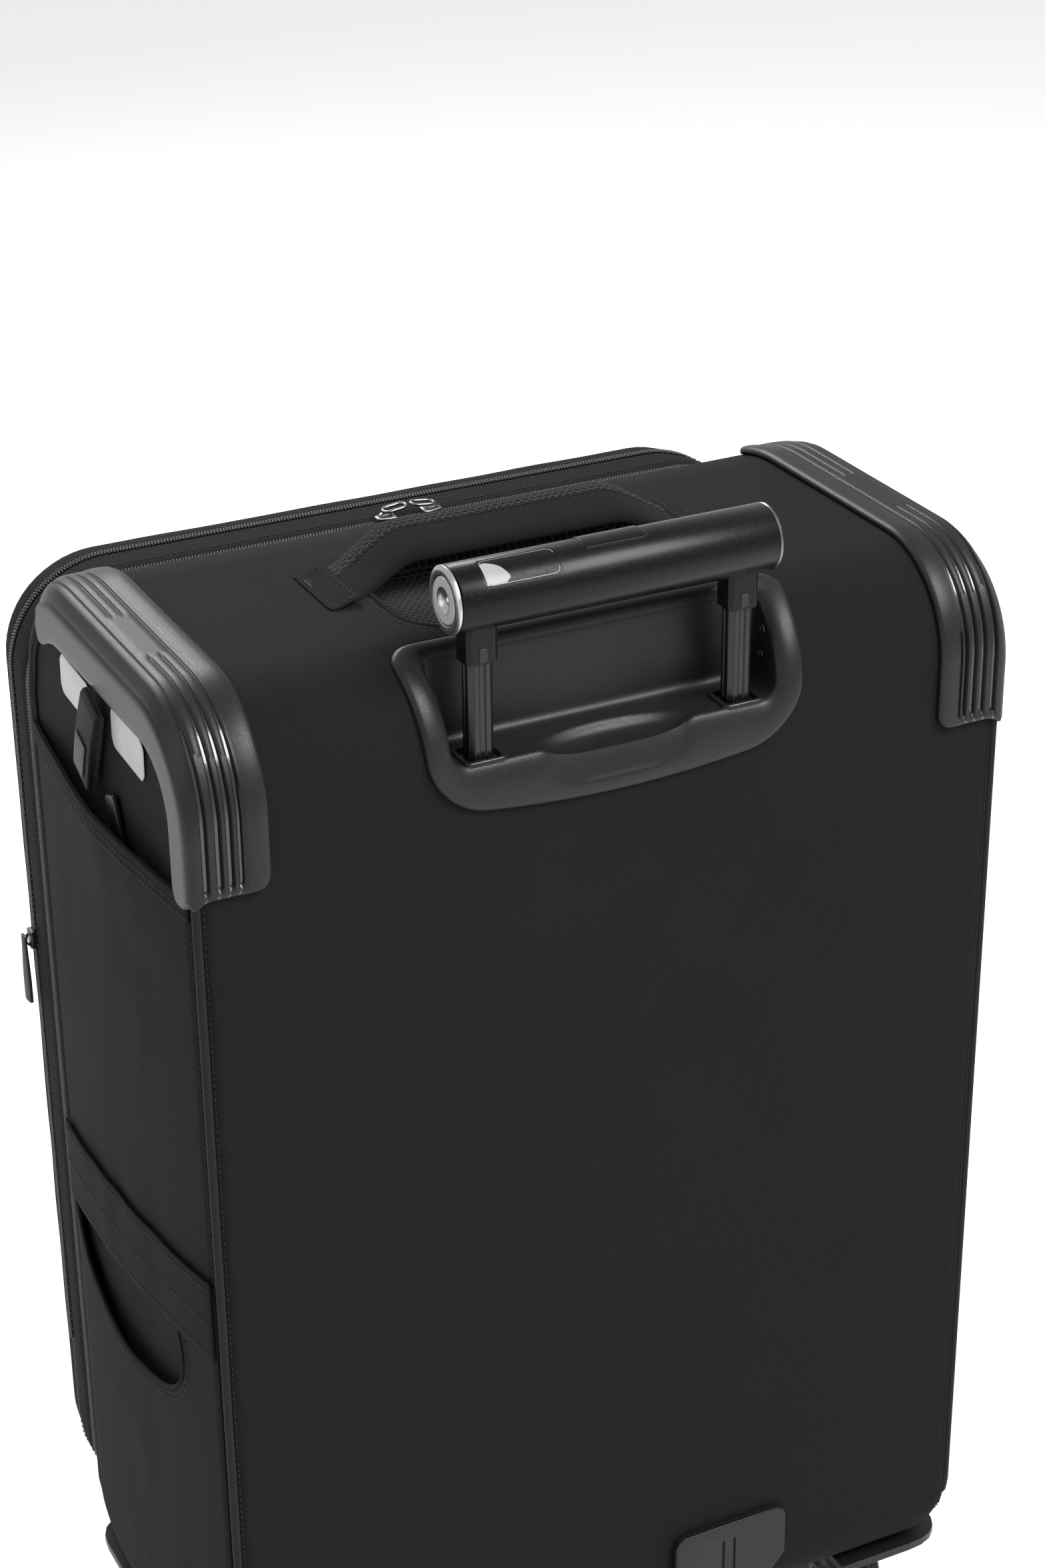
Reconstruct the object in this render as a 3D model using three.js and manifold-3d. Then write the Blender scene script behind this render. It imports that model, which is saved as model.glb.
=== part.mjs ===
// Softside upright suitcase on four spinner casters, with a telescopic handle whose grip holds a torch.
// Millimetres, +Z up. The handle side faces +Y, the zipped lid faces -Y and the pocket side faces +X.
// The origin is on the floor, under the middle of the whole case.
import * as THREE from 'three';
import { mergeVertices } from 'three/addons/utils/BufferGeometryUtils.js';
import Module from 'manifold-3d';

const wasm = await Module();
wasm.setup();

// ---------------------------------------------------------------- driving dimensions
const TOP = 690; // top panel above the floor
const WHEEL_ROOM = 73; // floor to the underside of the case
const CASE_WIDTH = 436;
const CASE_DEPTH = 230; // back panel to the front edge of the body
const LID_DEPTH = 26; // gusset of the lid
const POCKET_DEPTH = 27; // front pocket on the lid
const WALL = 1.6; // foam-backed fabric
const FIT = 0.3; // gap between pieces that touch
const BACK_TOP_RADIUS = 52; // where the top panel rolls over into the back panel
const BACK_BASE_RADIUS = 22;
const FRONT_FALL = 22; // how far the top panel falls towards the zip
const FRONT_FALL_RUN = 65;
const FRONT_CORNER_RADIUS = 58; // corners of the zipped opening
const BACK_CORNER_RADIUS = 8;
const BASE_CORNER_RADIUS = 45;
const SIDE_BOW = 6.5; // how far a side pocket stands out in the middle

const PIPING = 4; // width of the piped edge round each side
const PIPING_PROUD = 1;
const COIL = 2.4; // each half of the main zip, front to back
const COIL_BAND = 5; // width of a zip coil across its tape
const TAPE_BAND = 5; // zip tape between the body and the coil
const POCKET_COIL = 4.4;

const GUARD_WIDTH = 41; // corner guard, across the case
const GUARD_THICK = 2.5;
const GUARD_REACH = 205; // how far the guard runs forwards over the top
const GUARD_DROP = 88; // how far it runs down the back
const GUARD_FLANK = 20; // how far it wraps down the side

const CUP_HALF_TOP = 90; // recess that the grip drops into
const CUP_HALF_FLOOR = 87;
const CUP_FLOOR = 50;
const CUP_DEPTH = 30;
const CUP_WALL = 2.5;
const BEZEL_THICK = 2.9;
const SCOOP_HALF = 40; // finger scoop in the cup's floor
const SCOOP_DROP = 58;

const TUBE_SPACING = 138.8;
const TUBE_CLEAR = 0.5; // gap between the outer tube and the back panel's fabric
const INNER_TUBE = [13, 11];
const TUBE_SKIN = 1; // wall of the middle and outer tubes
const TUBE_SLIP = 0.2; // running gap between one tube and the next
const GRIP_HEIGHT = 31.6; // grip's centre above the top panel, handle as it stands
const GRIP_RADIUS = 16.5;
const GRIP_HALF = 83.3;
const GRIP_SKIN = 3;
const POST_SHOULDER = 3.5; // how much thicker the grip's legs are than the tube below them

const CASTER_INSET_X = 38;
const CASTER_INSET_Y = 42;
const WHEEL_RADIUS = 25;
const WHEEL_WIDTH = 10;
const CASTER_TRAIL = 12;
const AXLE_RADIUS = 4;
const AXLE_GAP = 0.2;
const FORK_LEG = 11;

// ---------------------------------------------------------------- places worked out from them
const POST = INNER_TUBE.map((size) => size + POST_SHOULDER);
const MIDDLE_TUBE = INNER_TUBE.map((size) => size + 2 * (TUBE_SKIN + TUBE_SLIP));
const OUTER_TUBE = MIDDLE_TUBE.map((size) => size + 2 * (TUBE_SKIN + TUBE_SLIP));
const TUBE_SET_IN = WALL + TUBE_CLEAR + OUTER_TUBE[1] / 2; // tube centre behind the back panel
const HALF = CASE_WIDTH / 2;
const BASE = WHEEL_ROOM;
const MIDDLE = (TOP + BASE) / 2;
const PLATE_PROUD = 4.8; // base plates stand out behind the back panel
const ZIP_START = CASE_DEPTH + PIPING_PROUD + FIT;
const COIL_START = ZIP_START + TAPE_BAND + FIT;
const LID_COIL_START = COIL_START + COIL + FIT;
const LID_START = LID_COIL_START + COIL + FIT;
const POCKET_COIL_START = LID_START + LID_DEPTH + FIT;
const POCKET_START = POCKET_COIL_START + POCKET_COIL + FIT;
const FULL_DEPTH = POCKET_START + POCKET_DEPTH;
const GRIP_PROUD = GRIP_RADIUS - TUBE_SET_IN; // the grip stands out behind everything else
const BACK = (FULL_DEPTH - GRIP_PROUD) / 2; // y of the back panel
const WRAP_HALF = HALF - PIPING_PROUD - 2;
const SIDE_FACE = HALF + FIT; // outside of the flat side panels
const TUBE_X = TUBE_SPACING / 2;
const TUBE_Y = BACK - TUBE_SET_IN;
const GRIP_Z = TOP + GRIP_HEIGHT;
const TUBE_BOTTOM = BASE + 61;
const SIDES = [['left', -1], ['right', 1]];

const fromBack = (depth) => BACK - depth;
const clamp = THREE.MathUtils.clamp;

// ---------------------------------------------------------------- materials
const finish = (color, roughness, metalness = 0) => (
  new THREE.MeshStandardMaterial({ color, roughness, metalness })
);
const fabric = finish(0x1d1d1e, 0.92);
const lining = finish(0x3a3d42, 0.9);
const mesh = finish(0x202123, 0.95);
const moulding = finish(0x2e2f30, 0.6);
const nylon = finish(0x151516, 0.5);
const tubeMetal = finish(0x141415, 0.35, 0.7);
const silver = finish(0xc8cacd, 0.3, 0.9);
const lens = finish(0xe8ecf0, 0.1);
const steel = finish(0x8a8d90, 0.4, 0.8);
const webbing = finish(0x161616, 0.95);
const board = finish(0x2a2a2a, 0.8);
const tyre = finish(0x1a1a1b, 0.7);

// ---------------------------------------------------------------- solids
function solidOf(geometry) {
  const bare = geometry.index ? geometry.toNonIndexed() : geometry.clone();
  bare.deleteAttribute('normal');
  bare.deleteAttribute('uv');
  const welded = mergeVertices(bare, 1e-3);
  return new wasm.Manifold(new wasm.Mesh({
    numProp: 3,
    vertProperties: new Float32Array(welded.attributes.position.array),
    triVerts: new Uint32Array(welded.index.array),
  }));
}

function geometryOf(solid) {
  const result = solid.getMesh();
  const geometry = new THREE.BufferGeometry();
  geometry.setAttribute('position', new THREE.BufferAttribute(result.vertProperties, 3));
  geometry.setIndex(new THREE.BufferAttribute(result.triVerts, 1));
  return geometry;
}

const join = (first, ...others) => (
  geometryOf(others.reduce((all, next) => all.add(solidOf(next)), solidOf(first)))
);
const cut = (first, ...tools) => (
  geometryOf(tools.reduce((rest, tool) => rest.subtract(solidOf(tool)), solidOf(first)))
);
const overlap = (first, second) => geometryOf(solidOf(first).intersect(solidOf(second)));

// Moves every vertex of a geometry by a function of its place.
function reshape(geometry, move) {
  const place = geometry.attributes.position;
  const point = new THREE.Vector3();
  for (let i = 0; i < place.count; i += 1) {
    point.fromBufferAttribute(place, i);
    move(point);
    place.setXYZ(i, point.x, point.y, point.z);
  }
  return geometry;
}

// ---------------------------------------------------------------- extrusions along each axis
const straight = (depth, steps, curveSegments) => (
  { depth, steps, curveSegments, bevelEnabled: false }
);

// A shape drawn in (y, z), run from xLow to xHigh.
function alongX(shape, xLow, xHigh, steps = 1, curveSegments = 6) {
  const geometry = new THREE.ExtrudeGeometry(shape, straight(xHigh - xLow, steps, curveSegments));
  geometry.applyMatrix4(new THREE.Matrix4().set(0, 0, 1, xLow, 1, 0, 0, 0, 0, 1, 0, 0, 0, 0, 0, 1));
  return geometry;
}

// A shape drawn in (x, z), run from one depth behind the back panel to a larger one.
function alongDepth(shape, depthLow, depthHigh, steps = 1, curveSegments = 5) {
  const run = straight(depthHigh - depthLow, steps, curveSegments);
  const geometry = new THREE.ExtrudeGeometry(shape, run);
  geometry.rotateX(Math.PI / 2);
  geometry.translate(0, fromBack(depthLow), 0);
  return geometry;
}

// A shape drawn in (x, y), run from zLow to zHigh.
function alongZ(shape, zLow, zHigh, steps = 1, curveSegments = 6) {
  const geometry = new THREE.ExtrudeGeometry(shape, straight(zHigh - zLow, steps, curveSegments));
  geometry.translate(0, 0, zLow);
  return geometry;
}

function block(xLow, xHigh, depthLow, depthHigh, zLow, zHigh) {
  const geometry = new THREE.BoxGeometry(xHigh - xLow, depthHigh - depthLow, zHigh - zLow);
  geometry.translate((xLow + xHigh) / 2, fromBack((depthLow + depthHigh) / 2), (zLow + zHigh) / 2);
  return geometry;
}

// ---------------------------------------------------------------- outlines
const outlineOf = (points) => new THREE.Shape(points.map(([a, b]) => new THREE.Vector2(a, b)));

function roundedShape(aLow, bLow, aHigh, bHigh, radiusLow, radiusHigh = radiusLow) {
  const shape = new THREE.Shape();
  const quarter = Math.PI / 2;
  shape.moveTo(aLow + radiusLow, bLow);
  shape.absarc(aHigh - radiusLow, bLow + radiusLow, radiusLow, -quarter, 0, false);
  shape.absarc(aHigh - radiusHigh, bHigh - radiusHigh, radiusHigh, 0, quarter, false);
  shape.absarc(aLow + radiusHigh, bHigh - radiusHigh, radiusHigh, quarter, 2 * quarter, false);
  shape.absarc(aLow + radiusLow, bLow + radiusLow, radiusLow, 2 * quarter, 3 * quarter, false);
  return shape;
}

// The case's outline from the front, drawn in by an inset.
function frontShape(inset) {
  return roundedShape(
    -HALF + inset, BASE + 10 + inset, HALF - inset, TOP - FRONT_FALL - inset,
    BASE_CORNER_RADIUS - inset, FRONT_CORNER_RADIUS - inset,
  );
}

function frontRing(insetOut, insetIn, depthLow, depthHigh) {
  return cut(
    alongDepth(frontShape(insetOut), depthLow, depthHigh),
    alongDepth(frontShape(insetIn), depthLow - 1, depthHigh + 1),
  );
}

function tubeShape([width, thickness], corner, x, y) {
  const a = width / 2;
  const b = thickness / 2;
  return outlineOf([
    [x + a, y - b + corner], [x + a, y + b - corner], [x + a - corner, y + b], [x - a + corner, y + b],
    [x - a, y + b - corner], [x - a, y - b + corner], [x - a + corner, y - b], [x + a - corner, y - b],
  ]);
}

// Side profile of the wrapped panel, from the front edge over the top, down the back, to the front.
function wrapLine(out) {
  const points = [];
  for (let i = 0; i <= 8; i += 1) {
    const run = Math.sin((1 - i / 8) * (Math.PI / 2));
    const depth = CASE_DEPTH - FRONT_FALL_RUN * (1 - run);
    points.push([fromBack(depth), TOP + out - FRONT_FALL * run * run]);
  }
  points.push([fromBack((CASE_DEPTH - FRONT_FALL_RUN + BACK_TOP_RADIUS) / 2), TOP + out]);
  for (let i = 0; i <= 10; i += 1) {
    const angle = (i / 10) * (Math.PI / 2);
    const reach = BACK_TOP_RADIUS + out;
    points.push([
      fromBack(BACK_TOP_RADIUS - reach * Math.sin(angle)),
      TOP - BACK_TOP_RADIUS + reach * Math.cos(angle),
    ]);
  }
  for (let i = 0; i <= 5; i += 1) {
    const angle = (i / 5) * (Math.PI / 2);
    const reach = BACK_BASE_RADIUS + out;
    points.push([
      fromBack(BACK_BASE_RADIUS - reach * Math.cos(angle)),
      BASE + BACK_BASE_RADIUS - reach * Math.sin(angle),
    ]);
  }
  for (let i = 0; i <= 6; i += 1) {
    const run = Math.sin((i / 6) * (Math.PI / 2));
    points.push([fromBack(CASE_DEPTH - BASE_CORNER_RADIUS * (1 - run)), BASE - out]);
  }
  return points;
}

// The same profile closed along the front edge, for what is sewn into the side.
function sideLine(out) {
  const front = fromBack(CASE_DEPTH + out);
  const line = wrapLine(out);
  const inner = line.slice(1, -1).filter(([y]) => y > front + 0.5);
  return [[front, line[0][1]], ...inner, [front, line.at(-1)[1]]];
}

function bandShape(outerOut, innerOut) {
  return outlineOf([...wrapLine(outerOut), ...wrapLine(innerOut).reverse()]);
}

// Radius of the case's corners, seen from the front, at a depth behind the back panel.
function cornerRadius(depth, frontRadius, backRadius) {
  const run = clamp((depth - (CASE_DEPTH - frontRadius)) / frontRadius, 0, 1);
  return backRadius + (frontRadius - backRadius) * (1 - Math.sqrt(1 - run * run));
}

// Rounds the case's long edges: the top falls and the base rises towards the sides.
function soften(point) {
  const depth = BACK - point.y;
  const over = point.z > MIDDLE
    ? cornerRadius(depth, FRONT_CORNER_RADIUS, BACK_CORNER_RADIUS)
    : cornerRadius(depth, BASE_CORNER_RADIUS, BACK_BASE_RADIUS);
  const past = clamp(Math.abs(point.x) - (HALF - over), 0, over * 0.985);
  const fall = over - Math.sqrt(over * over - past * past);
  point.z += point.z > MIDDLE ? -fall : fall;
}

// Bunches the steps of a wide extrusion towards its two edges.
const bunch = (half) => (point) => {
  point.x = half * Math.sin((point.x / half) * (Math.PI / 2));
};

// ---------------------------------------------------------------- the model
const suitcase = new THREE.Group();

function add(name, geometry, material) {
  const piece = new THREE.Mesh(geometry, material);
  piece.name = name;
  suitcase.add(piece);
}

// ---------------------------------------------------------------- cup for the grip
function cupShape(out) {
  const top = TOP + 14;
  const half = CUP_HALF_TOP + out;
  const floorHalf = CUP_HALF_FLOOR + out;
  const floor = TOP - CUP_FLOOR - out;
  const round = 8;
  const shape = new THREE.Shape();
  shape.moveTo(half, top);
  shape.lineTo(-half, top);
  shape.lineTo(-floorHalf, floor + round);
  shape.quadraticCurveTo(-floorHalf, floor, -floorHalf + round, floor);
  shape.lineTo(floorHalf - round, floor);
  shape.quadraticCurveTo(floorHalf, floor, floorHalf, floor + round);
  return shape;
}

function scoopShape(out) {
  const low = TOP - SCOOP_DROP - out;
  return roundedShape(-SCOOP_HALF - out, low, SCOOP_HALF + out, TOP - CUP_FLOOR + 6, 7 + out, 2);
}

function bezelShape() {
  const shape = new THREE.Shape();
  shape.moveTo(106, TOP + 14);
  shape.lineTo(-106, TOP + 14);
  shape.lineTo(-105, TOP - 12);
  shape.bezierCurveTo(-99, TOP - 40, -100, TOP - 56, -86, TOP - 64);
  shape.bezierCurveTo(-66, TOP - 76, -30, TOP - 79, 0, TOP - 79);
  shape.bezierCurveTo(30, TOP - 79, 66, TOP - 76, 86, TOP - 64);
  shape.bezierCurveTo(100, TOP - 56, 99, TOP - 40, 105, TOP - 12);
  return shape;
}

const CUP_BEHIND = -12; // where the cup's cutters start, clear of the back panel
const SCOOP_DEPTH = 22;

function handleCup() {
  const skin = alongX(bandShape(FIT + BEZEL_THICK, FIT), -110, 110);
  const bezel = overlap(skin, overlap(
    alongDepth(bezelShape(), CUP_BEHIND, CUP_DEPTH + 8),
    block(-110, 110, CUP_BEHIND, CUP_DEPTH + 8, TOP - 100, TOP + 13),
  ));
  const inside = alongX(outlineOf(wrapLine(FIT + 1)), -110, 110);
  const pan = overlap(alongDepth(cupShape(CUP_WALL), CUP_BEHIND, CUP_DEPTH + CUP_WALL), inside);
  const scoopPan = overlap(
    alongDepth(scoopShape(CUP_WALL), CUP_BEHIND, SCOOP_DEPTH + CUP_WALL), inside,
  );
  const holes = SIDES.map(([, side]) => {
    const size = OUTER_TUBE.map((width) => width + 2);
    return alongZ(tubeShape(size, 4, side * TUBE_X, TUBE_Y), TOP - 70, TOP - 40);
  });
  return cut(
    join(bezel, pan, scoopPan),
    alongDepth(cupShape(0), CUP_BEHIND - 2, CUP_DEPTH),
    alongDepth(scoopShape(0), CUP_BEHIND - 2, SCOOP_DEPTH),
    ...holes,
  );
}

// ---------------------------------------------------------------- fabric body
const RECESS_HALF = 84; // hollow under the top carry handle
const RECESS_BACK = 44;
const RECESS_FRONT = 148;
const RECESS_DROP = 14;

const recessShape = (inset) => roundedShape(
  -RECESS_HALF + inset, fromBack(RECESS_FRONT - inset),
  RECESS_HALF - inset, fromBack(RECESS_BACK + inset), 26 - inset,
);

function fabricWrap() {
  const wrap = alongX(bandShape(0, -WALL), -WRAP_HALF, WRAP_HALF, 12);
  reshape(wrap, bunch(WRAP_HALF));
  reshape(wrap, soften);
  return cut(
    wrap,
    alongDepth(cupShape(CUP_WALL + FIT), CUP_BEHIND, CUP_DEPTH + CUP_WALL + FIT),
    alongDepth(scoopShape(CUP_WALL + FIT), CUP_BEHIND, SCOOP_DEPTH + CUP_WALL + FIT),
    alongZ(recessShape(0), TOP - 10, TOP + 10),
  );
}

function handleRecess() {
  return cut(
    alongZ(recessShape(FIT), TOP - RECESS_DROP - WALL, TOP - 0.2),
    alongZ(recessShape(FIT + WALL), TOP - RECESS_DROP, TOP + 5),
  );
}

add('fabric_wrap', fabricWrap(), fabric);
add('handle_recess', handleRecess(), mesh);
add('handle_cup', handleCup(), moulding);

// ---------------------------------------------------------------- sides
const POCKET_MOUTH = TOP - GUARD_DROP - 1; // upper pocket's open edge, just under the guards' ends
const BAND_TOP = TOP - 314; // side grab band's upper edge
const POCKET_FLOOR = BASE + 8;
const POCKET_CLOTH = 1.5;
const BELLY_TOP = TOP - 110;

// A strip across the side, flat at both ends and out by the bow in the middle, from one face to another.
function bowedShape(bow, faceOut, faceIn) {
  const back = PIPING + 2 * FIT;
  const front = CASE_DEPTH - PIPING - 2 * FIT;
  const line = (swell, face) => Array.from({ length: 11 }, (_, i) => {
    const run = i / 10;
    return [face + swell * Math.sin(run * Math.PI), fromBack(back + (front - back) * run)];
  });
  return outlineOf([...line(bow, faceOut), ...line(faceIn < SIDE_FACE ? 0 : bow, faceIn).reverse()]);
}

// Trims what lies on a side to the rounded outline inside its piping.
function withinPiping(side, geometry) {
  const prism = alongX(outlineOf(sideLine(-PIPING - 3)), ...mirroredRun(side, HALF - 0.4, HALF + 20));
  return overlap(geometry, reshape(prism, soften));
}

// The plain side has no pocket: its padding swells as far as the pockets do on the other side.
function sideBelly() {
  const belly = alongZ(bowedShape(SIDE_BOW + POCKET_CLOTH, SIDE_FACE, HALF - 1), POCKET_FLOOR, BELLY_TOP);
  belly.rotateY(Math.PI);
  belly.translate(0, 0, POCKET_FLOOR + BELLY_TOP);
  return withinPiping(-1, belly);
}

function mirroredRun(side, near, far) {
  return side > 0 ? [near, far] : [-far, -near];
}

for (const [name, side] of SIDES) {
  const panel = outlineOf(sideLine(-PIPING - FIT));
  const panelRun = mirroredRun(side, WRAP_HALF + FIT, HALF);
  const flat = reshape(alongX(panel, ...panelRun), soften);
  add(`side_panel_${name}`, side > 0 ? flat : join(flat, sideBelly()), fabric);

  const ringRun = mirroredRun(side, WRAP_HALF + FIT, HALF + PIPING_PROUD);
  const ring = cut(
    reshape(alongX(outlineOf(sideLine(PIPING_PROUD)), ...ringRun), soften),
    reshape(alongX(outlineOf(sideLine(-PIPING)), ...ringRun), soften),
  );
  add(`side_piping_${name}`, ring, webbing);
}

// ---------------------------------------------------------------- corner guards
const GUARD_CLEAR = PIPING_PROUD + FIT;
const GUARD_OUT = HALF + PIPING_PROUD + FIT + GUARD_THICK;
const GUARD_SKIN = GUARD_CLEAR + GUARD_THICK;

function guardWindow(geometry, reach, drop) {
  return overlap(geometry, block(-HALF - 20, HALF + 20, -20, reach, TOP - drop, TOP + 20));
}

function cornerGuard(side) {
  const [skinLow, skinHigh] = mirroredRun(side, GUARD_OUT - GUARD_WIDTH, GUARD_OUT);
  const [flankLow, flankHigh] = mirroredRun(side, GUARD_OUT - GUARD_THICK, GUARD_OUT);
  const skin = alongX(bandShape(GUARD_SKIN, GUARD_CLEAR), skinLow, skinHigh, 6);
  const flank = alongX(bandShape(GUARD_SKIN, -GUARD_FLANK), flankLow, flankHigh);
  reshape(skin, soften);
  reshape(flank, soften);
  return guardWindow(join(skin, flank), GUARD_REACH, GUARD_DROP);
}

for (const [name, side] of SIDES) {
  add(`corner_guard_${name}`, cornerGuard(side), moulding);
}

// ---------------------------------------------------------------- side pockets
const MOON_TOP = TOP - 364; // half-moon opening under the grab band

function halfMoon() {
  const shape = new THREE.Shape();
  const back = fromBack(56);
  const front = fromBack(206);
  shape.moveTo(front, MOON_TOP);
  shape.bezierCurveTo(front + 20, MOON_TOP - 30, back - 60, MOON_TOP - 52, back - 12, MOON_TOP - 52);
  shape.bezierCurveTo(back, MOON_TOP - 50, back + 2, MOON_TOP - 20, back - 8, MOON_TOP);
  return alongX(shape, HALF - 20, HALF + 30, 1, 8);
}

const upperPocket = alongZ(
  bowedShape(SIDE_BOW - POCKET_CLOTH, SIDE_FACE + POCKET_CLOTH, SIDE_FACE), BAND_TOP + FIT, POCKET_MOUTH,
);
add('upper_pocket', withinPiping(1, upperPocket), fabric);
const lowerPocket = alongZ(
  bowedShape(SIDE_BOW, SIDE_FACE + POCKET_CLOTH, SIDE_FACE), POCKET_FLOOR, BAND_TOP,
);
add('lower_pocket', withinPiping(1, cut(lowerPocket, halfMoon())), fabric);

// ---------------------------------------------------------------- top carry handle
const STRAP_BACK = 92;
const STRAP_FRONT = 138;
const STRAP_HALF = 106;
const STRAP_RISE = 21;
const STRAP_THICK = 11;

function topHandle() {
  const foot = TOP + FIT;
  const under = STRAP_RISE - STRAP_THICK;
  const inner = STRAP_HALF - 17;
  const arch = new THREE.Shape();
  arch.moveTo(STRAP_HALF, foot);
  arch.bezierCurveTo(STRAP_HALF - 16, foot + 2, 78, TOP + STRAP_RISE - 2, 50, TOP + STRAP_RISE);
  arch.lineTo(-50, TOP + STRAP_RISE);
  arch.bezierCurveTo(-78, TOP + STRAP_RISE - 2, -STRAP_HALF + 16, foot + 2, -STRAP_HALF, foot);
  arch.lineTo(-inner, foot);
  arch.bezierCurveTo(-inner + 8, foot + 1, -66, TOP + under - 1, -50, TOP + under);
  arch.lineTo(50, TOP + under);
  arch.bezierCurveTo(66, TOP + under - 1, inner - 8, foot + 1, inner, foot);
  const strap = alongDepth(arch, STRAP_BACK, STRAP_FRONT, 1, 8);
  const middle = fromBack((STRAP_BACK + STRAP_FRONT) / 2);
  return reshape(strap, (point) => {
    const lift = clamp((point.z - foot) / STRAP_RISE, 0, 1);
    point.z += (middle - point.y) * 0.25 * lift;
  });
}

add('top_handle', topHandle(), fabric);

// ---------------------------------------------------------------- inside of the case
const LINING_INSET = 10;
const LINING_WALL = 1.2;
const LINING_BACK = CUP_DEPTH + CUP_WALL + 3;
const BACK_BOARD = TUBE_SET_IN + OUTER_TUBE[1] / 2 + 1;

const liningShape = (inset) => roundedShape(
  -HALF + LINING_INSET + inset, BASE + 8 + inset,
  HALF - LINING_INSET - inset, TOP - FRONT_FALL - 8 - inset,
  BASE_CORNER_RADIUS - inset, FRONT_CORNER_RADIUS - inset,
);

add('lining_tray', cut(
  alongDepth(liningShape(0), LINING_BACK, CASE_DEPTH - 1),
  alongDepth(liningShape(LINING_WALL), LINING_BACK + LINING_WALL, CASE_DEPTH + 1),
), lining);

const wireShape = (inset) => roundedShape(
  -HALF + 5.4 + inset, BASE + 5.6 + inset, HALF - 5.4 - inset, TOP - FRONT_FALL - 3.5 - inset,
  BASE_CORNER_RADIUS - inset, FRONT_CORNER_RADIUS - inset,
);
const WIRE = 2;
add('wire_frame', cut(
  alongDepth(wireShape(0), CASE_DEPTH - 6, CASE_DEPTH - 6 + WIRE),
  alongDepth(wireShape(WIRE), CASE_DEPTH - 10, CASE_DEPTH),
), steel);

const backBoardShape = roundedShape(-HALF + 14, BASE + 10, HALF - 14, TOP - SCOOP_DROP - 8, 24);
add('back_board', alongDepth(backBoardShape, BACK_BOARD, BACK_BOARD + 2), board);
add('base_board', block(-HALF + 30, HALF - 30, 26, CASE_DEPTH - 24, BASE + 2, BASE + 4.8), board);

// ---------------------------------------------------------------- zip between body and lid
const HINGE_LOW = BASE + 80;
const HINGE_HIGH = TOP - 110;
const hingeGap = () => (
  block(-HALF - 10, -HALF + 30, ZIP_START - 5, POCKET_START + 5, HINGE_LOW, HINGE_HIGH)
);

add('zip_tape', frontRing(3, 7, ZIP_START, ZIP_START + TAPE_BAND), fabric);
add('zip_coil_body', cut(
  frontRing(1, 1 + COIL_BAND, COIL_START, COIL_START + COIL), hingeGap(),
), nylon);
add('zip_coil_lid', cut(
  frontRing(1, 1 + COIL_BAND, LID_COIL_START, LID_COIL_START + COIL), hingeGap(),
), nylon);
add('hinge_tape', block(
  -HALF - 1.1, -HALF - FIT, CASE_DEPTH + 1.2, LID_COIL_START - 0.2, HINGE_LOW + 1, HINGE_HIGH - 1,
), fabric);

// ---------------------------------------------------------------- lid and its front pocket
const LID_INSET = 2;
const POCKET_INSET = 5;
const POCKET_ROLL = 12; // roundness of the pocket's front edge

add('lid_shell', cut(
  alongDepth(frontShape(LID_INSET), LID_START, LID_START + LID_DEPTH),
  alongDepth(frontShape(LID_INSET + WALL), LID_START - 1, LID_START + LID_DEPTH - WALL),
), fabric);

const POCKET_ZIP_LOW = BASE + 110;
const pocketRing = (grow) => (
  frontRing(LID_INSET, LID_INSET + COIL_BAND, POCKET_COIL_START, POCKET_COIL_START + POCKET_COIL + grow)
);
const belowZip = (gap) => block(
  -HALF - 5, HALF + 5, POCKET_COIL_START - 5, POCKET_START + 5, BASE - 5, POCKET_ZIP_LOW - gap,
);
add('pocket_zip_coil', cut(pocketRing(0), belowZip(0)), nylon);

function rollFront(point) {
  const past = clamp((BACK - point.y - (FULL_DEPTH - POCKET_ROLL)) / POCKET_ROLL, 0, 1);
  const pull = POCKET_ROLL * (1 - Math.sqrt(1 - past * past * 0.98));
  point.x *= 1 - pull / HALF;
  point.z = MIDDLE + (point.z - MIDDLE) * (1 - pull / (MIDDLE - BASE));
}

const pocketBlock = reshape(
  alongDepth(frontShape(POCKET_INSET), POCKET_START, FULL_DEPTH, 7), rollFront,
);
const pocketInside = reshape(
  alongDepth(frontShape(POCKET_INSET + WALL), POCKET_START - 6, FULL_DEPTH - WALL, 7), rollFront,
);
const pocketHem = overlap(pocketRing(1), belowZip(FIT));
add('front_pocket', join(cut(pocketBlock, pocketInside), pocketHem), fabric);

// ---------------------------------------------------------------- zip sliders and pulls
const SLIDER_LENGTH = 11;
const SLIDER_WIDTH = 8.4;
const SLIDER_HEIGHT = 4;
const SLIDER_X = 13.5; // where each main slider stands from the middle
const PULL_WIRE = 1.8;

const MAIN_ZIP_TOP = TOP - FRONT_FALL - 1 + FIT;
const MAIN_ZIP_DEPTH = COIL_START + COIL + FIT / 2;

for (const [name, side] of SIDES) {
  const slider = new THREE.BoxGeometry(SLIDER_LENGTH, SLIDER_WIDTH, SLIDER_HEIGHT);
  slider.translate(side * SLIDER_X, fromBack(MAIN_ZIP_DEPTH), MAIN_ZIP_TOP + SLIDER_HEIGHT / 2);
  add(`main_slider_${name}`, slider, silver);

  const loop = roundedShape(-4.4, 0, 4.4, 15, 4);
  const gap = roundedShape(-4.4 + PULL_WIRE, PULL_WIRE, 4.4 - PULL_WIRE, 15 - PULL_WIRE, 2.4);
  loop.holes.push(gap);
  const pull = alongZ(loop, 0, PULL_WIRE, 1, 3);
  pull.rotateZ(side * Math.PI / 2);
  pull.rotateY(side * 0.12);
  const pullZ = MAIN_ZIP_TOP + SLIDER_HEIGHT + FIT + 0.6;
  pull.translate(side * (SLIDER_X + 2), fromBack(MAIN_ZIP_DEPTH), pullZ);
  add(`main_pull_${name}`, pull, silver);
}

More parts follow.
